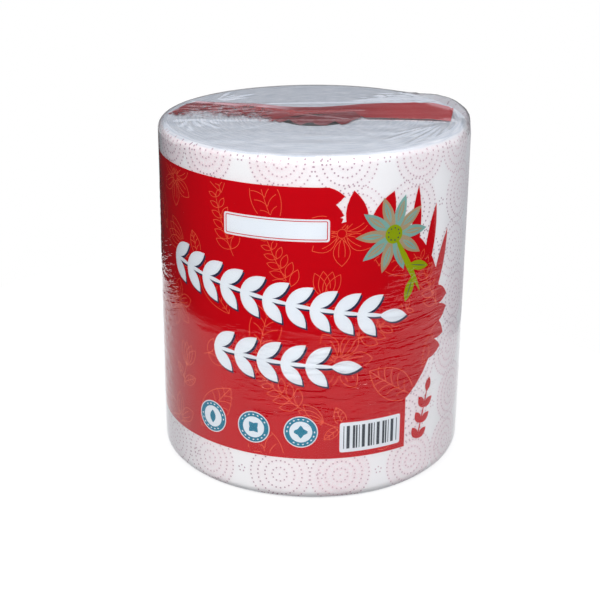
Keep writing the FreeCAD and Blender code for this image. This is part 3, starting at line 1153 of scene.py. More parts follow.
def bow(start: Point, end: Point, bulge: float, step: float = 2.4 * MM) -> Outline:
    """A curved stroke between two points.

    Args:
        start, end: the points.
        bulge: how far it bulges to its left, as a share of its length.
        step: the longest piece of it.

    Returns:
        Its points.
    """
    across, up = end[0] - start[0], end[1] - start[1]
    count = max(3, math.ceil(math.hypot(across, up) / step))
    stroke = []
    for index in range(count + 1):
        share = index / count
        aside = 4 * bulge * share * (1 - share)
        stroke.append((start[0] + across * share - up * aside, start[1] + up * share + across * aside))
    return stroke


def rectangle(width: float, height: float, left: float = 0.0, low: float = 0.0) -> Outline:
    """An upright rectangle from its lower left corner."""
    return [(left, low), (left + width, low), (left + width, low + height), (left, low + height)]


def round_rectangle(width: float, height: float, corner: float) -> Outline:
    """A rectangle about the origin with round corners.

    Args:
        width, height: its size.
        corner: the radius of its corners.

    Returns:
        Its outline.
    """
    side, above = width / 2 - corner, height / 2 - corner
    middles = ((side, above), (-side, above), (-side, -above), (side, -above))
    return [
        polar(corner, 90 * quarter + 30 * step, middle)
        for quarter, middle in enumerate(middles) for step in range(4)
    ]


def oval(half_width: float, half_height: float, count: int = 48) -> Outline:
    """An ellipse about the origin."""
    angles = [math.tau * index / count for index in range(count)]
    return [(half_width * math.cos(angle), half_height * math.sin(angle)) for angle in angles]


def disc(radius: float, count: int = 48) -> Outline:
    """A circle about the origin."""
    return oval(radius, radius, count)


def encloses(corners: np.ndarray, point: np.ndarray) -> bool:
    """Whether an outline runs round a point.

    Args:
        corners: the outline.
        point: the point.

    Returns:
        True if it does.
    """
    x, z = (corners - point).T
    next_x, next_z = np.roll(x, -1), np.roll(z, -1)
    crossing = (z > 0) != (next_z > 0)
    with np.errstate(divide="ignore", invalid="ignore"):
        at = x - z * (next_x - x) / (next_z - z)
    return bool(np.count_nonzero(crossing & (at > 0)) % 2)


def stepped(outline: Outline, step: float, slanting: bool = False) -> Outline:
    """An outline with points added so that no edge is longer than a step.

    Args:
        outline: its corners.
        step: the furthest that an edge may run.
        slanting: counts the whole length of an edge, and not only what it runs across.

    Returns:
        The outline with its new points.
    """
    points: Outline = []
    for (x, z), (next_x, next_z) in zip(outline, outline[1:] + outline[:1]):
        across, up = next_x - x, next_z - z
        count = max(1, math.ceil((math.hypot(across, up) if slanting else abs(across)) / step))
        points += [(x + across * index / count, z + up * index / count) for index in range(count)]
    return points


@dataclass
class FrontPrint:
    """Everything printed round the side, as outlines in the order in which the inks cover."""

    lift: float = 0.12 * MM
    film: float = 0.3 * MM            # the film's thickness
    base_margin: float = 30.0 * MM
    top_margin: float = 19.0 * MM
    start_turn: float = -152.0
    step_turn: float = 5.0
    foot_turn: float = 36.0
    foot_rise: float = 45.0 * MM
    swell_turn: float = 17.0
    swell_reach: float = 58.0 * MM
    swell_trim: float = 21.0 * MM
    swell_share: float = 0.506
    border_pitch: float = 13.0 * MM
    border_leaf: Point = (24.0 * MM, 13.0 * MM)
    border_root: float = 15.0 * MM
    border_swing: float = 15.0
    border_ends: Point = (6.0, -24.0)
    crest_leaf: Point = (34.0 * MM, 14.0 * MM)
    crest_root: float = 16.0 * MM
    crests: tuple[Point, ...] = ((94.0, 98.0), (78.0, 66.0))
    step_leaves: tuple[Point, ...] = ((0.965, 4.0), (0.915, -16.0), (0.87, 24.0))
    blade_leaf: Point = (50.0 * MM, 7.5 * MM)
    blade_root: float = 20.0 * MM
    blades: tuple[Point, ...] = ((52.0, 88.0), (36.0, 80.0), (18.0, 72.0))
    leaf_opening: float = 42.0
    stalk_overlap: float = 1.3
    shade_shift: Point = (1.1 * MM, -1.3 * MM)
    corner: float = 1.5 * MM
    twig: tuple[Sprig, Place] = (
        Sprig(76.0, 31.5 * MM, (10.0 * MM, 5.4 * MM), 10.5 * MM, 1.2 * MM), Place(42.5, 0.012)
    )
    sprigs: tuple[tuple[Sprig, Place], ...] = (
        (Sprig(-9.5, 148.0 * MM, (20.0 * MM, 8.6 * MM), 14.8 * MM, 2.6 * MM), Place(-60.0, 0.67)),
        (Sprig(-4.0, 77.0 * MM, (20.0 * MM, 8.6 * MM), 15.4 * MM, 2.6 * MM), Place(-38.0, 0.385)),
    )
    plate_size: Point = (65.0 * MM, 14.0 * MM)
    plate_place: Place = Place(-13.8, 0.85)
    plate_insets: tuple[tuple[Ink, float], ...] = (
        (Ink.WHITE, 0.0), (Ink.RED, 1.1 * MM), (Ink.WHITE, 1.6 * MM)
    )
    badge_place: Place = Place(-39.1, 0.105)
    badge_turn: float = 17.5          # from each badge to the next
    badge_radius: float = 10.8 * MM
    badge_edge: float = 0.7 * MM
    badge_ring: float = 2.9 * MM
    badge_dash: Point = (1.5 * MM, 0.9 * MM)
    badge_leaf: Point = (9.0 * MM, 4.6 * MM)
    panel_place: Place = Place(21.8, 0.08)
    panel_size: Point = (41.4 * MM, 20.5 * MM)
    panel_margin: float = 2.4 * MM
    panel_module: float = 0.5 * MM
    flower_angle: float = 70.0
    flower_drop: float = 8.0 * MM
    petals: int = 10
    petal: Point = (25.0 * MM, 7.6 * MM)
    petal_middle: Point = (14.0 * MM, 3.4 * MM)
    petal_vein: Point = (12.0 * MM, 0.9 * MM)
    stem: Point = (46.0 * MM, 4.2 * MM)
    stem_lean: float = -62.0
    stem_leaf: Point = (17.0 * MM, 6.4 * MM)
    stem_vein: Point = (13.0 * MM, 0.6 * MM)
    stem_leaves: tuple[Point, ...] = ((24.0 * MM, 48.0), (33.0 * MM, -48.0))
    eye_radius: float = 6.0 * MM
    stamens: int = 9
    stamen_reach: float = 3.9 * MM
    stamen_radius: float = 0.55 * MM
    bare_margin: float = 1.5 * MM     # how far inside the red a line starts
    lattice: Point = (2.6 * MM, 9.0 * MM)
    lattice_end: float = 75.0
    lattice_rise: float = 1.1         # its height, in heights of the red field
    layers: list[tuple[Ink, Outline]] = field(default_factory=list)

    def __post_init__(self) -> None:
        """Takes the red field's levels from the film, and lays every outline."""
        self.base = self.base_margin
        self.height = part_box("film_wrap")[1].z - self.film - self.top_margin - self.base
        self.swell_rise = self.height / 2 - self.swell_trim
        for lay in (self.red_field, self.white_sprigs, self.plate, self.badges, self.panel, self.flower):
            lay()

    def lay(self, ink: Ink, outline: Outline, place: Place, shift: Point = (0.0, 0.0)) -> None:
        """Adds an outline; what is laid later covers what was laid before.

        Args:
            ink: what it is printed in.
            outline: its points about the place, as they look from straight in front of it.
            place: where it lies.
            shift: how far it is moved from there.
        """
        middle = math.radians(place.turn) * SHAPE.radius
        level = self.base + place.share * self.height
        self.layers.append((ink, [
            (middle + SHAPE.radius * math.asin((x + shift[0]) / SHAPE.radius), level + z + shift[1])
            for x, z in outline
        ]))

    def moved(self, place: Place, lean: float, distance: float) -> Place:
        """The place that lies a distance from another, in a direction that leans up from across."""
        across, up = polar(distance, lean)
        return Place(place.turn + math.degrees(across / SHAPE.radius), place.share + up / self.height)

    def on_swell(self, angle: float) -> tuple[Place, float]:
        """A place on the edge of the red oval.

        Args:
            angle: which one, in degrees round the oval.

        Returns:
            The place, and the direction out of the oval there.
        """
        at = math.radians(angle)
        x, z = self.swell_reach * math.cos(at), self.swell_rise * math.sin(at)
        outward = math.degrees(math.atan2(z / self.swell_rise ** 2, x / self.swell_reach ** 2))
        turn = self.swell_turn + math.degrees(math.asin(x / SHAPE.radius))
        return Place(turn, self.swell_share + z / self.height), outward

    def hides(self, point: Point) -> bool:
        """Whether the red field hides a side point.

        Args:
            point: its across and up.

        Returns:
            True if it does.
        """
        turn, above = math.degrees(point[0] / SHAPE.radius), point[1] - self.base
        if above < 0 or turn < self.start_turn:
            return False
        if turn < self.step_turn and above < self.height or turn < self.foot_turn and above < self.foot_rise:
            return True
        x = SHAPE.radius * math.sin(math.radians(max(-90.0, min(90.0, turn - self.swell_turn))))
        z = above - self.swell_share * self.height
        return (x / self.swell_reach) ** 2 + (z / self.swell_rise) ** 2 < 1

    def sprig(self, ink: Ink, kind: Sprig, root: Place, shift: Point = (0.0, 0.0)) -> None:
        """Lays a stalk with two leaves at every pitch and one at its tip.

        Args:
            ink: what it is printed in.
            kind: its measures.
            root: where it starts.
            shift: how far it is moved from there.
        """
        count = max(2, round(kind.length / kind.pitch))
        joint = (self.stalk_overlap * kind.length / count, kind.stalk)
        self.lay(ink, leaf(kind.leaf, kind.lean), self.moved(root, kind.lean, kind.length), shift)
        for index in range(count):
            place = self.moved(root, kind.lean, kind.length * index / count)
            self.lay(ink, leaf(joint, kind.lean), place, shift)
            for side in (1, -1):
                self.lay(ink, leaf(kind.leaf, kind.lean + side * self.leaf_opening), place, shift)

    def band(self, start_turn: float, end_turn: float, height: float) -> None:
        """Lays red from the field's lower edge up, between two turns."""
        left, right = (math.radians(turn) * SHAPE.radius for turn in (start_turn, end_turn))
        self.layers.append((Ink.RED, rectangle(right - left, height, left, self.base)))

    def red_field(self) -> None:
        """Lays the field that runs round the roll, its oval, its leaves and the twig beside it."""
        self.band(self.start_turn, self.step_turn, self.height)
        self.band(self.start_turn / 2, self.foot_turn, self.foot_rise)
        self.lay(Ink.RED, oval(self.swell_reach, self.swell_rise), Place(self.swell_turn, self.swell_share))
        leaves = [
            (self.on_swell(angle)[0], lean, size, root) for size, root, ends in (
                (self.crest_leaf, self.crest_root, self.crests),
                (self.blade_leaf, self.blade_root, self.blades),
            ) for angle, lean in ends
        ]
        border = self.border_leaf, self.border_root
        leaves += [(Place(self.step_turn, share), lean, *border) for share, lean in self.step_leaves]
        start, end = self.border_ends
        around = math.radians(start - end) * (self.swell_reach + self.swell_rise) / 2
        count = max(1, round(around / self.border_pitch))
        for index in range(count + 1):
            place, outward = self.on_swell(start + (end - start) * index / count)
            swing = self.border_swing if index % 2 else -self.border_swing
            leaves.append((place, outward + swing, *border))
        for place, lean, size, root in leaves:
            self.lay(Ink.RED, leaf(size, lean, -root), place)
        self.sprig(Ink.RED, *self.twig)

    def white_sprigs(self) -> None:
        """Lays the two white sprigs over their navy shade."""
        for ink, shift in ((Ink.NAVY, self.shade_shift), (Ink.WHITE, (0.0, 0.0))):
            for kind, root in self.sprigs:
                self.sprig(ink, kind, root, shift)

    def plate(self) -> None:
        """Lays the bare white plate with its red keyline."""
        for ink, inset in self.plate_insets:
            width, height = (side - 2 * inset for side in self.plate_size)
            self.lay(ink, round_rectangle(width, height, self.corner - inset / 2), self.plate_place)

    def badges(self) -> None:
        """Lays the three badges, with one, two and three leaves."""
        teal_radius = self.badge_radius - self.badge_edge
        for index in range(3):
            place = Place(self.badge_place.turn + self.badge_turn * index, self.badge_place.share)
            self.lay(Ink.WHITE, disc(self.badge_radius), place)
            self.lay(Ink.TEAL, disc(teal_radius), place)
            for dash in (*range(7), *range(9, 16)):
                angle = 20 * dash + 30 * index
                outline = leaf(self.badge_dash, angle + 90, -self.badge_dash[0] / 2)
                self.lay(Ink.WHITE, outline, place, polar(teal_radius - self.badge_ring / 2, angle))
            self.lay(Ink.WHITE, disc(teal_radius - self.badge_ring), place)
            for blade in range(index + 1):
                lean = 90 + self.leaf_opening * (index - 2 * blade)
                self.lay(Ink.TEAL, leaf(self.badge_leaf, lean, -self.badge_leaf[0] / 2), place)

    def panel(self) -> None:
        """Lays the white panel and its uneven dark bars."""
        (width, height), margin = self.panel_size, self.panel_margin
        self.lay(Ink.WHITE, round_rectangle(width, height, self.corner), self.panel_place)
        left, right = margin - width / 2, width / 2 - margin
        index = 0
        while left < right:
            bar = self.panel_module * (1 + (3 * index * index + index) // 2 % 4)
            if index % 2 == 0:
                bar_width = min(bar, right - left)
                outline = rectangle(bar_width, height - 2 * margin, left, margin - height / 2)
                self.lay(Ink.DARK, outline, self.panel_place)
            left += bar
            index += 1

    def flower(self) -> None:
        """Lays the flower's two-tone petals, its stem with two leaves, and its eye with stamens."""
        place = self.moved(self.on_swell(self.flower_angle)[0], -90, self.flower_drop)
        for index in range(self.petals):
            angle = FULL_TURN * index / self.petals
            ink, inner = (Ink.TAN, Ink.AQUA) if index % 2 else (Ink.AQUA, Ink.TAN)
            self.lay(ink, leaf(self.petal, angle), place)
            self.lay(inner, leaf(self.petal_middle, angle, 7.5 * MM), place)
            self.lay(ink, leaf(self.petal_vein, angle, 8 * MM), place)
        self.lay(Ink.GREEN, leaf(self.stem, self.stem_lean), place)
        for distance, opening in self.stem_leaves:
            root, lean = polar(distance, self.stem_lean), self.stem_lean + opening
            self.lay(Ink.GREEN, leaf(self.stem_leaf, lean), place, root)
            self.lay(Ink.DARK, leaf(self.stem_vein, lean, 2 * MM), place, root)
        self.lay(Ink.GREEN, disc(self.eye_radius, 24), place)
        for index in range(self.stamens):
            spot = polar(self.stamen_reach, FULL_TURN * index / self.stamens)
            self.lay(Ink.DARK, disc(self.stamen_radius, 8), place, spot)

    def bare_red(self, line: np.ndarray) -> np.ndarray:
        """Finds the points that lie well inside the red and clear of what is printed over it.

        Args:
            line: the points' across and up.

        Returns:
            True or False for each.
        """
        bare = np.array([
            all(self.hides(point + gap) for gap in (self.bare_margin, -self.bare_margin)) for point in line
        ])
        for ink, outline in self.layers:
            if ink is Ink.RED:
                continue
            corners = np.array(outline)
            low, high = corners.min(axis=0) - MM, corners.max(axis=0) + MM
            near = bare & ((line > low) & (line < high)).all(axis=1)
            for index in np.nonzero(near)[0]:
                bare[index] = not encloses(corners, line[index])
        return bare

    def lattice_points(self) -> Outline:
        """Lays points that keep the print's faces small enough to follow the side.

        Returns:
            Their across and up.
        """
        step_x, step_z = self.lattice
        left, right = (math.radians(turn) * SHAPE.radius for turn in (self.start_turn, self.lattice_end))
        columns, rows = round((right - left) / step_x), round(self.height * self.lattice_rise / step_z)
        return [
            (left + (column + 0.5 * (row % 2)) * step_x, self.base + row * step_z)
            for column in range(columns) for row in range(rows)
        ]

    def build(self) -> None:
        """Cuts the outlines where they cover each other and builds a piece to each ink."""
        edges = [
            stepped([(x, max(z, self.base)) for x, z in outline], self.lattice[0])
            for _, outline in self.layers
        ]
        flat, faces, owners = triangulated(self.lattice_points(), edges)
        placed = rolled(flat, SHAPE.radius + self.lift)
        shares: dict[Ink, list[list[int]]] = {ink: [] for ink in Ink}
        for face, owner in zip(faces, owners):
            if owner:
                shares[self.layers[max(owner)][0]].append(face)
        for ink, kept in shares.items():
            finish = INKS[ink]
            made = new_object(finish.name, placed, kept, finish.make())
            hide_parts(ink.value)


def triangulated(
    inner: Outline, edges: Sequence[Outline], millimetre: float = MM
) -> tuple[np.ndarray, list[list[int]], list[list[int]]]:
    """Cuts some outlines into triangles where they cross and cover each other.

    Args:
        inner: points that the triangles use as well.
        edges: the outlines.
        millimetre: how long one is in what the points are given in.

    Returns:
        The points in metres, the faces, and for each face the outlines that it lies in.
    """
    flat, rings = list(inner), []
    for edge in edges:
        rings.append(list(range(len(flat), len(flat) + len(edge))))
        flat += edge
    scaled = [Vector((x / millimetre, z / millimetre)) for x, z in flat]
    points, _, faces, _, _, owners = delaunay_2d_cdt(scaled, [], rings, 1, 1e-4)
    return np.array([tuple(point) for point in points]) * MM, faces, owners


# ---------------------------------------------------------------- line art
class Motif(Enum):
    """The garden drawings in the red."""

    LEAF = "leaf"
    BLOSSOM = "blossom"
    FERN = "fern"
    BUD = "bud"


def leaf_strokes(
    root: Point, angle: float, length: float, veins: int, breadth: float = 0.24
) -> list[Outline]:
    """A leaf's two edges, its midrib and pairs of bowed veins.

    Args:
        root: where the leaf starts.
        angle: its direction, in degrees up from across.
        length: its length.
        veins: how many pairs of veins it has.
        breadth: the bulge of each edge, as a share of the length.

    Returns:
        The strokes.
    """
    tip = polar(length, angle, root)
    strokes = [bow(root, tip, breadth), bow(root, tip, -breadth)]
    if veins:
        strokes.append(bow(root, tip, 0.02))
    for index in range(veins):
        share = (index + 0.6) / (veins + 1)
        foot = polar(length * share, angle, root)
        reach = length * breadth * 4 * share * (1 - share) * 1.05
        strokes += [bow(foot, polar(reach, angle + side * 52, foot), side * -0.12) for side in (1, -1)]
    return strokes


def blossom_strokes(petals: int, reach: float) -> list[Outline]:
    """A flower seen from above: petals with two inner lines each, and a ring with stamens.

    Args:
        petals: how many it has.
        reach: its radius.

    Returns:
        The strokes.
    """
    strokes = [disc(reach * 0.14, 12) + [(reach * 0.14, 0.0)]]
    for index in range(petals):
        angle = FULL_TURN * index / petals + 12
        strokes += leaf_strokes(polar(reach * 0.16, angle), angle, reach * 0.84, 0, 0.30)
        for side in (1, -1):
            inner = polar(reach * 0.22, angle + side * 10)
            strokes.append(bow(inner, polar(reach * 0.72, angle + side * 7), side * 0.06))
        strokes.append([polar(reach * 0.14, angle + 25), polar(reach * 0.30, angle + 25)])
    return strokes


def fern_strokes(length: float, pairs: int) -> list[Outline]:
    """A bowed stem with pairs of small plain leaves.

    Args:
        length: its length.
        pairs: how many it has.

    Returns:
        The strokes.
    """
    strokes = [bow((0.0, 0.0), (0.0, length), 0.03)]
    for index in range(pairs):
        share = (index + 0.7) / pairs
        reach = length * 0.30 * (1.1 - 0.6 * share)
        for angle in (42, 138):
            strokes += leaf_strokes((0.0, length * share), angle, reach, 0, 0.22)
    return strokes


def bud_strokes(length: float) -> list[Outline]:
    """A cup-shaped flower on a stem with two veined leaves.

    Args:
        length: its length.

    Returns:
        The strokes.
    """
    cup = (0.0, length * 0.5)
    strokes = [bow((0.0, 0.0), cup, 0.04)]
    for lean in (-26, -9, 9, 26):
        strokes += leaf_strokes(cup, 90 + lean, length * 0.48, 0, 0.20)
    strokes += leaf_strokes((0.0, length * 0.12), 40, length * 0.42, 4)
    return strokes + leaf_strokes((0.0, length * 0.2), 148, length * 0.36, 3)


@dataclass
class LineArt:
    """Thin orange drawings of leaves and flowers, printed over the red and under the white."""

    lift: float = 0.18 * MM
    width: float = 0.44 * MM
    turn_pitch: float = 21.0
    up_pitch: float = 41.0 * MM
    first_turn: float = -143.0
    first_row: float = 45.0 * MM
    columns: int = 10
    rows: int = 5
    size: float = 40.0 * MM
    most_lean: float = 75.0
    scales: Point = (0.85, 1.15)

    def strokes(self, motif: Motif) -> list[Outline]:
        """Draws one motif from its foot up.

        Args:
            motif: which one.

        Returns:
            The strokes, about its middle.
        """
        if motif is Motif.LEAF:
            return leaf_strokes((0.0, -self.size / 2), 90, self.size, 6)
        if motif is Motif.BLOSSOM:
            return blossom_strokes(6, self.size * 0.48)
        upward = fern_strokes(self.size, 6) if motif is Motif.FERN else bud_strokes(self.size)
        return [[(x, z - self.size / 2) for x, z in stroke] for stroke in upward]

    def placed(self) -> Iterable[np.ndarray]:
        """Lays the drawings in staggered rows, leaning by turns.

        Returns:
            Every stroke on the unrolled side.
        """
        chance = np.random.default_rng(31)
        motifs = list(Motif)
        for column in range(self.columns):
            for row in range(self.rows):
                turn = self.first_turn + self.turn_pitch * (column + 0.25 * (row % 2))
                level = self.first_row + self.up_pitch * (row + 0.5 * (column % 2) - 0.25)
                lean = float(chance.uniform(-self.most_lean, self.most_lean))
                scale = float(chance.uniform(*self.scales))
                for stroke in self.strokes(motifs[(column * 3 + row * 2 + column // 3) % len(motifs)]):
                    yield scale * np.array(leaned(stroke, lean)) + (math.radians(turn) * SHAPE.radius, level)

    def build(self, front: FrontPrint) -> None:
        """Builds the strokes as thin ribbons, where the red is bare.

        Args:
            front: the print that they lie on.
        """
        edges, faces, start = [], [], 0
        for line in self.placed():
            bare = front.bare_red(line)
            ahead = np.gradient(line, axis=0)
            aside = np.stack([-ahead[:, 1], ahead[:, 0]], axis=1)
            aside *= self.width / 2 / np.maximum(np.hypot(*aside.T), 1e-9)[:, None]
            edges += [line - aside, line + aside]
            count = len(line)
            faces += [
                (first, first + 1, first + 1 + count, first + count)
                for first in (start + np.nonzero(bare[:-1] & bare[1:])[0]).tolist()
            ]
            start += 2 * count
        points = rolled(np.concatenate(edges), SHAPE.radius + self.lift)
        made = new_object("line_art", points, faces, LINE_INK.make())


# ---------------------------------------------------------------- folded end
@dataclass(frozen=True)
class FlapFinish:
    """Red-printed film folded over itself: deep red, paler where it is creased, and pale pink where it lies
    doubled, which is partly the doubled film and partly a painted reflection of the fold.
    """

    name: str
    red: Colour = (0.42, 0.030, 0.032)
    right_red: Colour = (0.64, 0.060, 0.064)
    cloud: Colour = (0.86, 0.70, 0.74)
    # pale pink of the wedge at the back left: partly the doubled film, partly a painted reflection of the
    # fold
    veil: Colour = (0.86, 0.50, 0.54)
    cloudy: float = 0.05
    # share of wear on the left end; it also turns on the fold's painted reflection, so that only the strip
    # has it
    worn: float = 0.0
    solid: float = 0.95

    def make(self) -> bpy.types.Material:
        """Wires the flap: its left end is worn to specks, and a wedge at its back left is painted pale pink,
        partly as the doubled film and partly as a painted reflection of the fold.

        Returns:
            Its material.
        """
        wiring = new_wiring(self.name)
        x, y, _ = wiring.parts(wiring.place())
        to_left = x.between(-25 * MM, -31 * MM) * self.worn
        tip = x.between(-76 * MM, -90 * MM)
        creases = wiring.noise(wiring.vector(x, y * 2.6, x * 0.3), 150.0, 4.0).between(0.50, 0.66)
        specks = wiring.noise(wiring.vector(x, y * 1.6, x * 0.4), 300.0, 4.0)
        depth = (y + x * 0.38).between(-30 * MM, -8 * MM)
        kept = (specks + depth * 0.24 + tip * 0.2).between(0.60, 0.72)
        # the wedge at the strip's back left that gets the painted reflection of the fold
        folded = (y + x * 0.36).between(6 * MM, 7.5 * MM) * x.between(-8 * MM, -26 * MM)
        folded = folded * (1.0 - tip) * self.worn
        red = wiring.mix(x.between(6 * MM, 62 * MM), self.red, self.right_red)
        clouded = wiring.mix(creases * (to_left * 0.4 + self.cloudy), red, self.cloud)
        return wiring.finish(wiring.principled({
            "Base Color": wiring.mix(folded * 0.85, clouded, self.veil),
            "Roughness": 0.42,
            "Specular IOR Level": 0.1,
            "Alpha": (1.0 - to_left * (1.0 - folded) * (1.0 - kept)) * self.solid,
            "Normal": wiring.bump(creases, 0.25 * MM, 0.6),
        }))


@dataclass
class FoldedEnd:
    """The gathered end of the printed film, folded down across the top and over the bore."""

    pitch: float = 1.5                # between the sheet's points, in millimetres
    strip_lift: float = 0.30 * MM
    lobe_lift: float = 0.15 * MM
    lobe_sag: float = 0.6 * MM
    pleat_depth: float = 0.6 * MM
    pleat_pitch: Point = (2.6 * MM, 5.0 * MM)
    strip: tuple[Point, ...] = (
        (91, 16), (79, 31), (67, 36), (53, 34), (30, 30), (20, 26), (4, 22), (-9, 22), (-21, 24),
        (-42, 34), (-60, 38), (-79, 41), (-84, 34), (-91, 17), (-95, 6), (-83, -1), (-73, -5),
        (-57, -10), (-41, -15), (-27, -16), (-19, -6), (-3, 2), (10, 3), (20, 6), (26, 9), (29, -3),
        (34, -10), (48, -11), (64, -12), (86, -17),
    )
    lobes: tuple[Point, ...] = (
        (-27, 8), (-27, -11), (-22, -18), (-16, -12), (-12, -19), (-9, -25), (-4, -18), (-1, -17),
        (4, -24), (7, -26), (11, -18), (13, -15), (17, -24), (20, -22), (24, -14), (30, -8), (27, 11),
        (20, 8), (10, 5), (-3, 4), (-19, 7),
    )

    def sheet(
        self, name: str, outline: Sequence[Point], lift: Callable[..., np.ndarray],
        material: bpy.types.Material,
    ) -> bpy.types.Object:
        """Builds a sheet that follows the film on the top.

        Args:
            name, material: the piece's name and finish.
            outline: its corners in the plan, in millimetres.
            lift: its height over the paper's top at points of the plan.

        Returns:
            The piece.
        """
        low, high = np.min(outline, axis=0), np.max(outline, axis=0)
        inner = [
            (x + 0.5 * self.pitch * (row % 2), y)
            for row, y in enumerate(np.arange(low[1], high[1], self.pitch * 0.87))
            for x in np.arange(low[0], high[0], self.pitch)
        ]
        plan, faces, _ = triangulated(inner, [stepped(list(outline), self.pitch, True)], 1.0)
        x, y = plan.T
        points = np.stack([x, y, SHAPE.crown(x) + lift(x, y)], axis=1)
        made = new_object(name, points, faces, material)
        return made

    def strip_height(self, x: np.ndarray, y: np.ndarray) -> np.ndarray:
        """The strip lies just under the film's outer skin."""
        return self.strip_lift + RELIEF.top(x, y)

    def lobe_height(self, x: np.ndarray, y: np.ndarray) -> np.ndarray:
        """The lobes hang deeper over the bore and are gathered into soft pleats.

        Args:
            x, y: points of the plan.

        Returns:
            The height over the paper's top at each.
        """
        away = np.hypot(x, y + 8 * MM)
        pitch_x, pitch_y = self.pleat_pitch
        pleats = self.pleat_depth * np.sin(x / pitch_x + 1.3 * np.sin(y / pitch_y))
        return self.lobe_lift + RELIEF.top(x, y) - rise(away, 26 * MM, 6 * MM) * (self.lobe_sag + pleats)

    def build(self) -> None:
        """Builds the strip and the lobes."""
        finish = FlapFinish("flap_red", worn=1.0)
        strip = self.sheet("flap_strip", self.strip, self.strip_height, finish.make())
        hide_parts("flap_ink")
        finish = FlapFinish("flap_deep_red", (0.33, 0.045, 0.05), (0.33, 0.045, 0.05), cloudy=0.14)
        self.sheet("flap_lobes", self.lobes, self.lobe_height, finish.make())


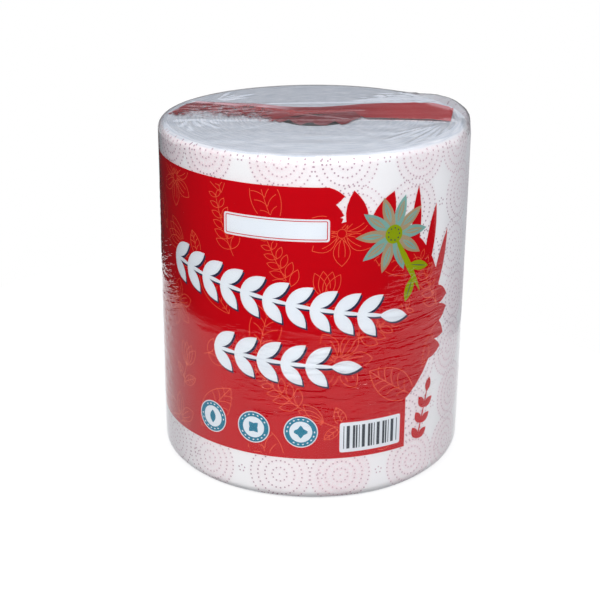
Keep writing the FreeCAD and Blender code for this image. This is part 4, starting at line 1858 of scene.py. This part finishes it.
# ---------------------------------------------------------------- studio
@dataclass
class Studio:
    """The pale table, the lamps and the camera."""

    focal: float = 84.79
    stand: tuple[float, float, float] = (-0.0083, -0.8922, 0.4393)
    tilt: float = 20.91
    roll: float = 0.5
    middle: tuple[float, float, float] = (0.0, 0.0, 0.11)
    dark: Colour = (0.03, 0.03, 0.035)
    table_middle: Point = (0.05, 0.03)
    table_reach: float = 0.41
    table_notch: Point = (0.05, 0.02)
    table_sides: int = 96
    table_lit: Colour = (0.45, 0.45, 0.45)
    table_shade: Colour = (0.22, 0.22, 0.225)
    table_glow: float = 0.84
    white: Colour = (1.0, 1.0, 1.0)
    sky: Colour = (0.43, 0.445, 0.48)
    grey: Colour = (0.60, 0.60, 0.63)
    card_edges: tuple[float, ...] = (0.0, 0.55, 0.585, 0.61, 0.635, 1.5)
    card_shines: tuple[float, ...] = (0.10, 0.14, 0.42, 0.72, 0.85)

    @staticmethod
    def flat(name: str, outline: Iterable[Point], material: bpy.types.Material) -> bpy.types.Object:
        """Builds a flat piece that isn't part of the roll.

        Args:
            name, material: its name and finish.
            outline: its corners.

        Returns:
            The piece.
        """
        corners = [(x, y, 0.0) for x, y in outline]
        mesh = bpy.data.meshes.new(name)
        mesh.from_pydata(corners, [], [list(range(len(corners)))])
        mesh.materials.append(material)
        made = linked(name, mesh)
        made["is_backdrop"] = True
        return made

    @staticmethod
    def aim(made: bpy.types.Object, centre: Sequence[float], aim: Sequence[float], axis: str) -> None:
        """Moves an object to its centre and turns one of its axes to a point."""
        made.location = centre
        made.rotation_euler = (Vector(aim) - Vector(centre)).to_track_quat(axis, "Y").to_euler()

    def floor(self) -> None:
        """Builds the white table top, which the lower half of the film mirrors."""
        rim = circle(self.table_reach, self.table_sides, self.table_sides / 8) + self.table_middle
        behind = rim[:, 1] > rim[:, 0]
        limits = np.where(np.stack([behind, ~behind], axis=1), self.table_notch, math.inf)
        wiring = new_wiring("table_white")
        lit = wiring.node("BsdfDiffuse", None, {"Color": self.table_lit})[0]
        shadow = wiring.node("BsdfDiffuse", None, {"Color": self.table_shade})[0]
        glow = wiring.node("Emission", None, {"Strength": self.table_glow})[0]
        white = wiring.node("AddShader", None, {0: shadow, 1: glow})[0]
        shader = wiring.node("MixShader", None, {0: wiring.seen(), 1: lit, 2: white})[0]
        corners = [self.table_notch, *np.minimum(rim, limits).tolist()]
        self.flat("table_top", corners, wiring.finish(shader))

    def card(
        self, name: str, centre: Sequence[float], facing: Sequence[float], size: Point, colour: Colour
    ) -> None:
        """Builds a card that only reflections see.

        Args:
            name: the card's name.
            centre: its middle.
            facing: the point that it faces.
            size: its width and height.
            colour: its glow.
        """
        wiring = new_wiring(name)
        material = wiring.finish(wiring.node("Emission", None, {"Color": colour, "Strength": 1.0})[0])
        made = self.flat(name, rectangle(*size, -size[0] / 2, -size[1] / 2), material)
        self.aim(made, centre, facing, "Z")
        made.visible_camera = made.visible_diffuse = made.visible_shadow = False

    def lamp(
        self, name: str, centre: Sequence[float], size: Point, power: float, colour: Colour
    ) -> None:
        """Hangs a soft rectangular lamp that faces the roll.

        Args:
            name: its name.
            centre: where it hangs.
            size: its width and height.
            power: its power, in watts.
            colour: the colour of its light.
        """
        data = bpy.data.lights.new(name, "AREA")
        data.shape = "RECTANGLE"
        data.size, data.size_y = size
        data.energy, data.color = power, colour
        self.aim(linked(name, data), centre, self.middle, "-Z")

    def world(self) -> None:
        """A white background, and a dimmer even light on the roll."""
        wiring = Wiring(bpy.data.worlds.new("studio_world"))
        colour = wiring.mix(wiring.seen(), self.sky, self.white)
        background = wiring.node("Background", None, {"Color": colour})[0]
        bpy.context.scene.world = wiring.finish(background)

    def camera(self) -> None:
        """The camera, looking down at the roll's front."""
        data = bpy.data.cameras.new("camera")
        data.lens = self.focal
        made = linked("camera", data)
        tilt, roll = math.radians(90 - self.tilt), math.radians(self.roll)
        turned = Matrix.Rotation(tilt, 4, "X") @ Matrix.Rotation(roll, 4, "Z")
        made.matrix_world = Matrix.Translation(self.stand) @ turned
        bpy.context.scene.camera = made

    def build(self) -> None:
        """Sets up everything round the roll."""
        self.floor()
        self.card("dark_room_floor", (0, 0, -0.6), (0, 0, 0.5), (8, 8), self.dark)
        for name, x, y in (("left", -2.2, -0.7), ("front", 0, -2.6), ("right", 2.2, -0.7)):
            self.card(f"dark_room_{name}", (x, y, 0), (0, 0, 0), (4.4, 1.2), self.dark)
        self.card("grey_floor_card", (1.05, 1.02, -0.002), (1.05, 1.02, 1), (2.0, 2.0), self.grey)
        edges = zip(self.card_edges, self.card_edges[1:])
        for index, ((low, high), shine) in enumerate(zip(edges, self.card_shines)):
            level, grey = (low + high) / 2, (0.94 * shine, shine, 1.08 * shine)
            self.card(f"grey_back_card_{index}", (0, 1.4, level), (0, 0, level), (4.0, high - low), grey)
        self.lamp("main_softbox", (-0.70, -1.53, 0.90), (1.1, 0.9), 16.5, (1.0, 0.99, 0.98))
        self.lamp("fill_softbox", (0.85, -1.42, 0.90), (1.1, 0.9), 14.0, (0.99, 0.99, 1.0))
        self.lamp("top_softbox", (0.0, 0.0, 1.5), (1.8, 1.4), 8.0, (0.98, 0.985, 1.0))
        self.world()
        self.camera()
        bpy.context.scene.view_settings.view_transform = "Standard"


def write_sizes() -> None:
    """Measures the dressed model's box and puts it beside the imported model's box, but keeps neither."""
    boxes = {"cad": CAD_BOX, "visual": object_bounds()}
    {name: [list(corner) for corner in box] for name, box in boxes.items()}


def main() -> None:
    """Builds the roll's pieces from the inside out, then the studio."""
    front = FrontPrint()
    CoreTube().build(BoardFinish().make())
    PaperRoll().build(PaperFinish().make())
    front.build()
    LineArt().build(front)
    TowelDots().build(DotFinish().make(), front.hides)
    FoldedEnd().build()
    film = FilmFinish().make()
    FilmWrap().build(film)
    FilmSeam().build(film)
    Studio().build()
    write_sizes()


if __name__ == "__main__":
    logging.basicConfig(level=logging.INFO, format="%(message)s")
    main()
